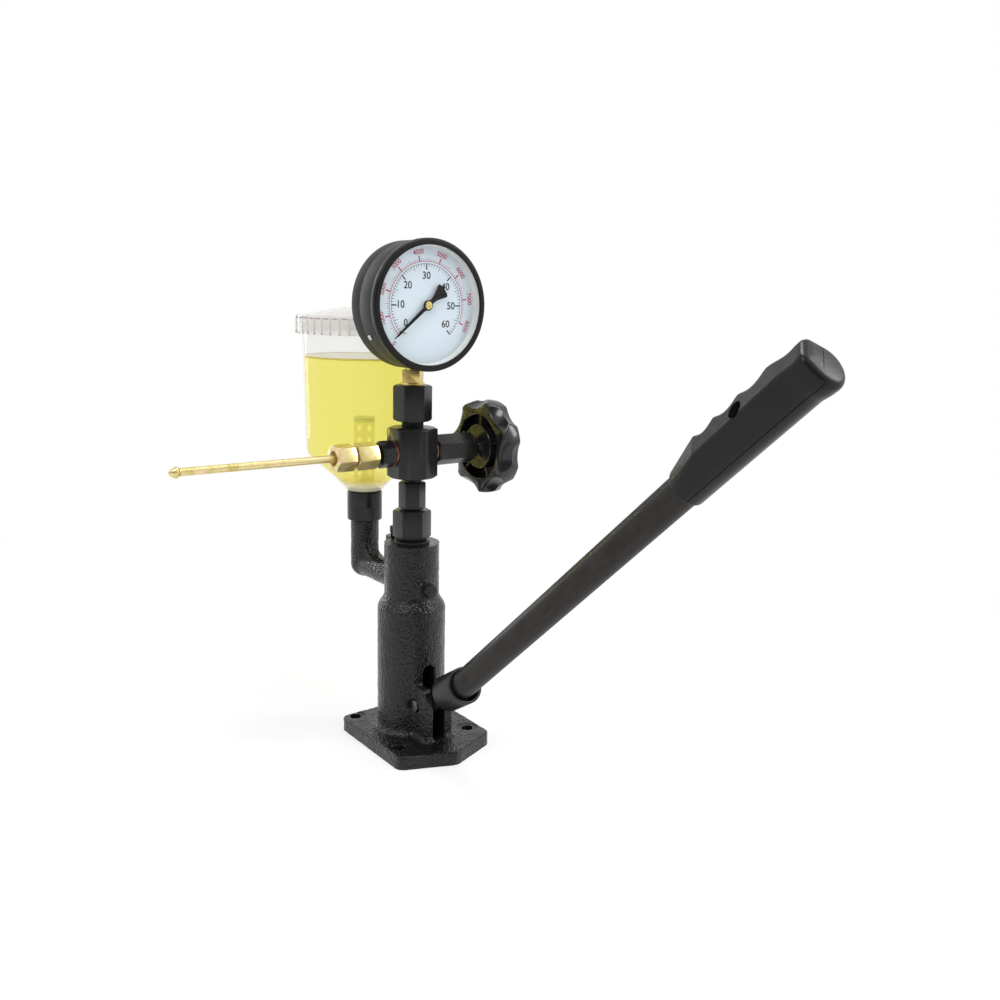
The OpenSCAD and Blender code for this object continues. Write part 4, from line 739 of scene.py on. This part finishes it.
def grip_stations():
    """Distances from the grip's start, each with the swell of the section there."""
    stations = [(0.0, -0.9), (0.15, -0.45), (0.5, -0.12), (1.0, 0.0)]
    stations += [(z, 0.0) for z in np.arange(2, FLARE_START, 0.9)]
    for z in np.arange(FLARE_START, FLARE_START + FLARE_L, 0.8):
        stations.append((z, FLARE / 2 - FLARE / 2 * math.cos(math.pi * (z - FLARE_START) / FLARE_L)))
    stations += [(107, FLARE), (108.5, 1.3), (110, 1.25), (111, 1.0), (111.8, 0.6), (112.5, 0.0), (113, -0.6),
                 (113.4, -1.3), (113.7, -2.1), (113.9, -2.9), (GRIP_L, -3.8)]
    return stations


def grip():
    """Moulded grip: flat face, finger hollows, mould seam, flared end and the screw's hole."""
    seam = np.array([-0.045, -0.03, -0.015, 0, 0.015, 0.03, 0.045]) + math.pi
    even = np.linspace(0, 2 * math.pi, 180, endpoint=False)
    directions = np.sort(np.concatenate([even[np.abs(even - math.pi) > 0.055], seam]))
    groove = np.clip(1 - np.abs(directions - math.pi) / 0.03, 0, 1)
    ways = np.stack([np.cos(directions), np.sin(directions)], 1)
    rings = [np.column_stack([TUBE_HOLE_R * ways, np.full(len(ways), z)]) for z in (TUBE_HOLE_L, 0.0)]
    for z, swell in grip_stations():
        ending = np.clip((z - END_START) / END_L, 0, 1)
        eased_end = ending ** 2 * (3 - 2 * ending)
        full = min(1.0, z / FIRST_FINGER) - END_ROUND * eased_end
        flat = grip_radius(full, swell, directions)[:, None] * ways
        reach = flat @ FINGER_WAY
        limit = RIDGE - hollow_depth(z) - END_DROP * eased_end
        over = np.clip((reach - limit + HOLLOW_EASE) / (2 * HOLLOW_EASE), 0, 1)
        eased = np.where(reach > limit + HOLLOW_EASE, limit, reach - HOLLOW_EASE * over ** 2)
        flat = flat + (eased - reach)[:, None] * FINGER_WAY
        if 1 <= z <= GRIP_L - 2:
            flat = flat - SEAM_DEPTH * groove[:, None] * ways
        rings.append(np.column_stack([flat, np.full(len(flat), z)]))
    last = rings[-1]
    middle = np.array([2.0, 4.0, 0])
    for share, lift in ((0.75, 0.25), (0.45, 0.4), (0.15, 0.45)):
        ring = middle + (last - middle) * share
        ring[:, 2] = GRIP_L + lift
        rings.append(ring)
    mesh = mesh_from("grip", *skin(rings), GRIP)
    mesh.materials.append(looks["grip_vinyl"])
    hole = bar(SCREW_HOLE_R, 8, 30, GRIP @ along((0, 0, SCREW_HOLE_AT), [("X", -90)]))
    slit = slab((18, 0.4, 1.2), GRIP @ along((2.5, 2.6, GRIP_L + 0.4), []))
    mesh = carve(mesh, [hole, slit])
    piece = keep("moulded_grip", mesh, looks["grip_vinyl"])
    settle(piece, "lever", "grip_vinyl", "lever_grip", angle=38)


grip()


# Valve knob

LOBES = 7
FIRST_VALLEY = math.radians(95)
KNOB_NEAR, KNOB_FAR = 63.8, 80.8
KNOB_L = KNOB_FAR - KNOB_NEAR
KNOB_RIM, KNOB_CROWN = 39.5, 1.1
SCOOP_OUT, SCOOP_BACK, SCOOP_R = 59, 13.5, 30.6
FAR_SCOOP_RISE = 5.0
SCOOP_EASE, SCOOP_LIP = 2.4, 1.2
STEM_HOLE = 4.1
KNOB_RIBS, FIRST_RIB = 5, 185
# Profiles (radius, height) of the hub and its groove, and of the dished far face
HUB = [(STEM_HOLE, KNOB_NEAR), (18.1, KNOB_NEAR), (18.5, KNOB_NEAR + 0.4), (18.5, KNOB_NEAR + 11),
       (27, KNOB_NEAR + 11), (27, KNOB_NEAR + 0.4), (27.4, KNOB_NEAR)]
DISH = [(24, KNOB_FAR), (23, KNOB_FAR - 0.8), (9, KNOB_FAR - 0.8), (8, KNOB_FAR), (STEM_HOLE, KNOB_FAR)]


def knob_side(z, from_valley):
    """Radius of the knob's side: a crowned rim, eased into scoops that meet in a ridge halfway."""
    depth = min(z - KNOB_NEAR, KNOB_FAR - z)
    rim = KNOB_RIM - KNOB_CROWN * (1 - depth / KNOB_L * 2) ** 2
    cut = depth
    if z - KNOB_NEAR >= KNOB_FAR - z:
        cut = FAR_SCOOP_RISE + (1 - FAR_SCOOP_RISE / (KNOB_L / 2)) * depth
    inside = SCOOP_R ** 2 - (cut + SCOOP_BACK) ** 2 - (SCOOP_OUT * np.sin(from_valley)) ** 2
    scoop = SCOOP_OUT * np.cos(from_valley) - np.sqrt(np.clip(inside, 0, None))
    ease = np.clip(0.5 + (rim - scoop) / SCOOP_EASE, 0, 1)
    return rim + (scoop - rim) * ease - SCOOP_LIP * ease * (1 - ease)


def knob():
    """Seven-lobed knob: a star face, a ribbed groove round the hub, and sides scooped from both faces."""
    around = LOBES * 40
    angles = np.linspace(0, 2 * math.pi, around, endpoint=False)
    pitch = 2 * math.pi / LOBES
    from_valley = (angles - FIRST_VALLEY) % pitch - pitch / 2
    near_side = knob_side(KNOB_NEAR, from_valley)
    far_side = knob_side(KNOB_FAR, from_valley)
    rings = [(np.full(around, r), z) for r, z in HUB]
    rings += [(near_side - 0.9, KNOB_NEAR), (near_side - 0.25, KNOB_NEAR + 0.2)]
    rings += [(knob_side(z, from_valley), z) for z in np.linspace(KNOB_NEAR + 0.7, KNOB_FAR - 0.7, 35)]
    rings += [(far_side - 0.25, KNOB_FAR - 0.2), (far_side - 0.9, KNOB_FAR)]
    rings += [(np.full(around, r), z) for r, z in DISH]
    shape = [np.stack([r * np.cos(angles), r * np.sin(angles), np.full(around, z)], 1) for r, z in rings]
    mesh = mesh_from("knob", *skin(shape, loop=True), VALVE)
    work = bmesh.new()
    work.from_mesh(mesh)
    for i in range(KNOB_RIBS):
        spoke = along((0, 0, KNOB_NEAR + 6.2), [("Z", FIRST_RIB + 360 / KNOB_RIBS * i)])
        rib = slab((9.4, 1.6, 9.6), VALVE @ spoke @ along((22.75, 0, 0), []))
        work.from_mesh(rib)
    work.to_mesh(mesh)
    work.free()
    piece = keep("lobed_knob", mesh, looks["knob_plastic"])
    settle(piece, "valve_knob", "knob_plastic", "valve_knob", angle=40)


knob()


# Repeated pieces


def ring_tree():
    """Blocks set round a circle: for the dial's marks and the lid's ribs."""
    tree = bpy.data.node_groups.new("blocks_round_circle", "GeometryNodeTree")
    sockets = {}
    for name, kind in (("Count", "Int"), ("First", "Float"), ("Step", "Float"), ("Radius", "Float"),
                       ("Size", "Vector"), ("Leave Out", "Int"), ("Material", "Material")):
        item = tree.interface.new_socket(name, in_out="INPUT", socket_type="NodeSocket" + kind)
        sockets[name] = item.identifier
    tree.interface.new_socket("Geometry", in_out="OUTPUT", socket_type="NodeSocketGeometry")
    given = tree.nodes.new("NodeGroupInput")
    ask = {name: Wire(tree, given.outputs[name]) for name in sockets}
    index = add_node(tree, "GeometryNodeInputIndex", 0, {})
    angle = ask["First"] + index * ask["Step"]
    spot = add_node(tree, "ShaderNodeCombineXYZ", 0, {
        0: ask["Radius"] * angle.math("COSINE", angle),
        1: ask["Radius"] * angle.math("SINE", angle),
    })
    points = add_node(tree, "GeometryNodePoints", 0, {"Count": ask["Count"], "Position": spot})
    block = add_node(tree, "GeometryNodeMeshCube", 0, {"Size": ask["Size"]})
    turn = add_node(tree, "ShaderNodeCombineXYZ", 0, {2: angle})
    swing = add_node(tree, "FunctionNodeEulerToRotation", 0, {0: turn})
    wanted = angle.math("GREATER_THAN", angle.math("FLOORED_MODULO", index, ask["Leave Out"]), 0.5)
    placed = add_node(tree, "GeometryNodeInstanceOnPoints", 0, {
        "Points": points, "Selection": wanted, "Instance": block, "Rotation": swing})
    real = add_node(tree, "GeometryNodeRealizeInstances", 0, {"Geometry": placed})
    dressed = add_node(tree, "GeometryNodeSetMaterial", 0, {"Geometry": real, "Material": ask["Material"]})
    result = tree.nodes.new("NodeGroupOutput")
    tree.links.new(dressed.socket, result.inputs[0])
    return tree, sockets


FIRST_ONLY = 1000
blocks_tree, block_inputs = ring_tree()


def blocks(name, place, material, count, first, step, radius, size, leave_out=FIRST_ONLY):
    """A mesh of blocks round a circle: sizes in millimetres, angles in degrees.

    Blocks whose number, from 0, is a multiple of leave_out are left out.
    """
    helper = keep(name, bpy.data.meshes.new(name))
    growth = helper.modifiers.new("blocks", "NODES")
    growth.node_group = blocks_tree
    values = {"Count": count, "First": math.radians(first), "Step": math.radians(step), "Radius": radius,
              "Size": size, "Leave Out": leave_out, "Material": material}
    for key, value in values.items():
        growth[block_inputs[key]] = value
    mesh = evaluated(helper)
    bpy.data.objects.remove(helper)
    mesh.transform(Matrix.Scale(MM, 4) @ place)
    return mesh


def joined(name, meshes, material):
    """One object from several meshes that share a material."""
    work = bmesh.new()
    for mesh in meshes:
        work.from_mesh(mesh)
    whole = bpy.data.meshes.new(name)
    work.to_mesh(whole)
    work.free()
    return keep(name, whole, material)


# Dial

INK = 0.02
CAP_HEIGHT = 0.7


def number(text, height, width, stroke, radius, angle, turn, place):
    """A printed number as a thin mesh of a set size, its middle at a radius and an angle of the dial."""
    curve = bpy.data.curves.new("number", "FONT")
    curve.body = text
    curve.size = height / CAP_HEIGHT
    curve.offset = stroke
    curve.extrude = INK
    curve.resolution_u = 4
    helper = bpy.data.objects.new("number", curve)
    bpy.context.scene.collection.objects.link(helper)
    graph = bpy.context.evaluated_depsgraph_get()
    mesh = bpy.data.meshes.new_from_object(helper.evaluated_get(graph))
    bpy.data.objects.remove(helper)
    points = np.array([vert.co for vert in mesh.vertices])
    low, high = points.min(0), points.max(0)
    centred = Matrix.Translation(-(Vector(low) + Vector(high)) / 2)
    shape = Matrix.Diagonal((width / (high[0] - low[0]), height / (high[1] - low[1]), 1, 1))
    spot = Matrix.Translation((radius * math.cos(angle), radius * math.sin(angle), 0))
    mesh.transform(Matrix.Scale(MM, 4) @ place @ spot @ Matrix.Rotation(turn, 4, "Z") @ shape @ centred)
    return mesh


def arc_line(radius, width, first, sweep, place):
    """A thin printed line round part of the dial."""
    angles = np.radians(np.linspace(first, first + sweep, 181))
    ways = np.stack([np.cos(angles), np.sin(angles)], 1)
    half = width / 2
    corners = [(radius - half, -INK), (radius + half, -INK), (radius + half, INK), (radius - half, INK)]
    rings = [np.array([(r * way[0], r * way[1], z) for r, z in corners]) for way in ways]
    return mesh_from("arc", *skin(rings), place)


FACE = GAUGE @ along((0, 0, 19.03), [])
ZERO = 225
BLACK_SWEEP, RED_SWEEP = -270, -248.2
BLACK_STEP = BLACK_SWEEP / 60
RED_STEP = RED_SWEEP / 80
BLACK_ARC, RED_ARC = 31.1, 32.9
# Marks: count, steps from one to the next, length, width, which ones are left out for longer marks
BLACK_MARKS = [(61, 1, 2.1, 0.34, 5), (13, 5, 3.6, 0.36, 2), (7, 10, 4.6, 1.0, FIRST_ONLY)]
RED_MARKS = [(81, 1, 2.0, 0.32, 5), (17, 5, 3.2, 0.34, 2), (9, 10, 4.4, 1.0, FIRST_ONLY)]
# Black numbers: text, width, angle
BLACK_NUMBERS = [("0", 3.4, 215), ("10", 6.0, 178), ("20", 7.1, 138), ("30", 7.1, 90), ("40", 7.1, 40),
                 ("50", 7.1, 0), ("60", 7.1, -38)]
BLACK_HEIGHT, BLACK_STROKE, BLACK_AT = 5.7, 0.12, 22.5
RED_HEIGHT, RED_STROKE, RED_AT = 3.9, 0.07, 40.2
SURROUND = [(47.35, 19.1, 0), (44.0, 19.1, 0), (46.6, 23.35, 0.3), (47.35, 23.35, 0.1)]

black_print = [arc_line(BLACK_ARC, 0.3, ZERO, BLACK_SWEEP, FACE)]
for count, every, long, wide, leave_out in BLACK_MARKS:
    black_print.append(blocks("black_marks", FACE, looks["black_ink"], count, ZERO, every * BLACK_STEP,
                              BLACK_ARC - long / 2, (long, wide, 2 * INK), leave_out))
red_print = [arc_line(RED_ARC, 0.42, ZERO, RED_SWEEP, FACE)]
for count, every, long, wide, leave_out in RED_MARKS:
    red_print.append(blocks("red_marks", FACE, looks["red_ink"], count, ZERO, every * RED_STEP,
                            RED_ARC + long / 2, (long, wide, 2 * INK), leave_out))
for text, wide, degrees in BLACK_NUMBERS:
    angle = math.radians(degrees)
    black_print.append(number(text, BLACK_HEIGHT, wide, BLACK_STROKE, BLACK_AT, angle, 0, FACE))
for i in range(9):
    angle = math.radians(ZERO + 10 * RED_STEP * i)
    wide = 9.4 if i else 2.2
    text = str(1000 * i)
    red_print.append(number(text, RED_HEIGHT, wide, RED_STROKE, RED_AT, angle, angle - math.pi / 2, FACE))
black_scale = joined("black_scale", black_print, looks["black_ink"])
red_scale = joined("red_scale", red_print, looks["red_ink"])
dial_ring = keep("dial_surround", turned("dial_surround", SURROUND, GAUGE), looks["dial_surround"])
for piece in (black_scale, red_scale, dial_ring):
    settle(piece, "body", "dial_face")


POINTER_REST = 220.5


def pointer():
    """Needle with a round hub and a tail that flares like an axe."""
    edge = [(39.2, 0.15), (33, 0.8), (20, 1.15), (4.6, 1.5)]
    edge += [(4.0 * math.cos(a), 4.0 * math.sin(a)) for a in np.radians(np.arange(30, 151, 12))]
    edge += [(-5.2, 1.75), (-7.4, 1.95), (-9.8, 2.7), (-12.4, 3.8), (-15, 5.0), (-16.8, 5.8), (-17.5, 5.95),
             (-18.1, 5.6), (-18.7, 4.2), (-19.1, 2.1)]
    outline = np.array(edge + [(-19.2, 0)] + [(x, -y) for x, y in reversed(edge)])
    rings = [np.column_stack([outline, np.full(len(outline), z)]) for z in (21.25, 21.95)]
    rest = GAUGE @ along((0, 0, 0), [("Z", POINTER_REST)])
    mesh = softened(mesh_from("needle", *skin(rings), rest), 0.1)
    piece = keep("needle", mesh, looks["pointer_paint"])
    settle(piece, "gauge_pointer", "pointer_paint", "gauge_pointer")
    cap_mesh = softened(nodes["pointer_cap"].data, 0.25)
    cap_mesh.materials.append(looks["brass"])
    cap = keep("needle_cap", carve(cap_mesh, [bar(0.8, 22.5, 26, GAUGE)]), looks["brass"])
    settle(cap, "gauge_pointer", slot_of["pointer_cap"], "pointer_cap")


pointer()


# Oil cup, oil and lid, from profiles (radius, height, rounding)

CUP_OUTSIDE = [(6, 187, 0), (9.9, 187, 0), (9.9, 199, 0), (15.5, 199, 1), (17.5, 202, 2), (49.7, 231, 9),
               (51.5, 335.25, 0), (54.5, 335.25, 1), (54.5, 338.25, 1), (51.5, 338.25, 0), (51.5, 341, 0.6)]
CUP_INSIDE = [(50.3, 341, 0.5), (48.5, 231.7, 8), (15.5, 202, 2), (6, 202, 0)]
OIL_TOP = 313.6
OIL = [(0.02, 202.2, 0), (15.3, 202.2, 2), (48.3, 231.8, 8), (49.6, OIL_TOP - 1, 0),
       (49.65, OIL_TOP + 0.7, 0), (49.0, OIL_TOP + 0.25, 0), (48.0, OIL_TOP + 0.05, 0), (46, OIL_TOP, 0),
       (0.02, OIL_TOP, 0)]
LID = [(54.8, 332.5, 0.4), (56.2, 332.5, 0.5), (56.2, 348, 2), (49.5, 348, 3), (17.2, 354.5, 12),
       (0.02, 354.5, 0), (0.02, 352.3, 0), (17.2, 352.3, 10), (47.5, 345.8, 0.8), (47.5, 341.1, 0.3),
       (54.8, 341.1, 0.6)]
RIBS = 44
RIB_PITCH = 360 / RIBS

cup_wall = keep("cup_wall", turned("cup_wall", CUP_OUTSIDE + CUP_INSIDE, CUP, 160), looks["clear_cup"])
settle(cup_wall, "body", "clear_cup", "oil_cup")

oil_mesh = turned("test_oil", OIL, CUP, 160, loop=False)
oil = keep("test_oil", oil_mesh, looks["oil_yellow"], looks["oil_top_reflection"], looks["meniscus_shade"])
for face in oil_mesh.polygons:
    # the oil's top takes the painted reflection
    if face.normal.z > 0.3:
        face.material_index = 1
    # the band at the meniscus takes painted shade
    elif face.center.z > (OIL_TOP - 1.1) * MM:
        face.material_index = 2
settle(oil, "body", "clear_cup")

lid = keep("ribbed_lid", turned("ribbed_lid", LID, CUP, 176), looks["lid_plastic"])
settle(lid, "cup_lid", "lid_plastic", "cup_lid")
rib_place = CUP @ along((0, 0, 339.5), [])
rib_mesh = blocks("lid_ribs", rib_place, looks["rib_plastic"], RIBS, 0, RIB_PITCH,
                  56.35, (1.1, 1.0, 14))
ribs = keep("lid_ribs", softened(rib_mesh, 0.2), looks["rib_plastic"])
# Dark dashes between the ribs near the lid's top: painted shade at the top edge of each panel between the
# ribs
panel_shade_place = CUP @ along((0, 0, 345.4), [])
panel_shade_mesh = blocks("lid_panel_shades", panel_shade_place, looks["panel_shade_plastic"], RIBS, RIB_PITCH / 2, RIB_PITCH,
                  56.3, (0.7, 4.4, 0.8))
panel_shades = keep("lid_panel_shades", softened(panel_shade_mesh, 0.15), looks["panel_shade_plastic"])
for piece in (ribs, panel_shades):
    settle(piece, "cup_lid", "lid_plastic")


# Stage, lights and camera


def seen_rays(tree):
    """1 for rays that show the background: straight to the camera, by a mirror or through glass."""
    path = tree.nodes.new("ShaderNodeLightPath")
    seen = Wire(tree, path.outputs["Is Camera Ray"])
    for kind in ("Is Glossy Ray", "Is Transmission Ray"):
        seen = seen.math("MAXIMUM", seen, Wire(tree, path.outputs[kind]))
    return seen


FLOOR_HALF = 6.0
FLOOR_GLOW = 0.6
floor_corners = [(x * FLOOR_HALF, y * FLOOR_HALF, 0) for x, y in ((-1, -1), (1, -1), (1, 1), (-1, 1))]
floor_mesh = bpy.data.meshes.new("floor")
floor_mesh.from_pydata(floor_corners, [], [(0, 1, 2, 3)])
paper = Look("paper", roughness=0.9, specular_ior_level=0.1)
paper.set(base_color=paper.noise(3, 2).mix((0.95, 0.95, 0.95), (0.97, 0.97, 0.97)))
distance = paper.place.node("ShaderNodeVectorMath", "Value", {0: paper.place}, operation="LENGTH")
glow = paper.place.node("ShaderNodeEmission", 0, {"Color": (1, 1, 1), "Strength": 1.0})
share = seen_rays(paper.tree) * (FLOOR_GLOW + (1 - FLOOR_GLOW) * distance.span(0.3, 0.9))
lit = Wire(paper.tree, paper.surface.outputs["BSDF"])
paper.show(paper.place.node("ShaderNodeMixShader", 0, {0: share, 1: lit, 2: glow}))
floor = keep("floor", floor_mesh, paper.material)

SKY_LIGHT = 0.75
FRONT = (-0.518, -0.83, 0.206)
FRONT_SHADE = 0.88
world = bpy.data.worlds.new("studio")
world.use_nodes = True
sky = world.node_tree
backdrop = sky.nodes["Background"]
outlook = add_node(sky, "ShaderNodeTexCoord", "Generated", {})
frontness = outlook.node("ShaderNodeVectorMath", "Value", {0: outlook, 1: FRONT}, operation="DOT_PRODUCT")
mirrored = add_node(sky, "ShaderNodeLightPath", "Is Glossy Ray", {})
dark_front = FRONT_SHADE * mirrored * frontness.span(0.55, 0.95)
plug(sky, backdrop.inputs["Color"], (1, 1, 1))
plug(sky, backdrop.inputs["Strength"], SKY_LIGHT + (1 - SKY_LIGHT) * seen_rays(sky) - dark_front)
bpy.context.scene.world = world


def lamp(name, place, target, size, power):
    """A rectangular lamp aimed at a target: metres and watts."""
    data = bpy.data.lights.new(name, "AREA")
    data.shape = "RECTANGLE"
    data.size, data.size_y = size
    data.energy = power
    light = bpy.data.objects.new(name, data)
    aim = (Vector(target) - Vector(place)).to_track_quat("-Z", "Y").to_matrix().to_4x4()
    light.matrix_world = Matrix.Translation(place) @ aim
    bpy.context.scene.collection.objects.link(light)


lamp("key", (-1.1, -0.7, 1.5), (0, 0, 0.2), (0.5, 0.5), 9)
lamp("fill", (1.2, -0.9, 1.1), (0, 0, 0.2), (0.4, 0.7), 8)
lamp("top", (0.2, -0.3, 1.5), (0, 0, 0.2), (0.28, 0.28), 5)
lamp("rim", (-0.21, 1.33, 0.5), (0, 0, 0.25), (0.08, 1.0), 2.5)

eye = Vector((-0.4179, -0.6698, 0.3666))
right = Vector((0.7999, -0.5997, 0.0236))
up = Vector((0.1026, 0.1754, 0.9791))
back = -Vector((0.5913, 0.7808, -0.2018))
camera_data = bpy.data.cameras.new("camera")
camera_data.sensor_width = 36
camera_data.lens = 35.68
camera = bpy.data.objects.new("camera", camera_data)
camera.matrix_world = Matrix((
    (right.x, up.x, back.x, eye.x),
    (right.y, up.y, back.y, eye.y),
    (right.z, up.z, back.z, eye.z),
    (0, 0, 0, 1),
))
bpy.context.scene.collection.objects.link(camera)
bpy.context.scene.camera = camera
bpy.context.scene.view_settings.view_transform = "Standard"
bpy.context.scene.cycles.transparent_max_bounces = 24
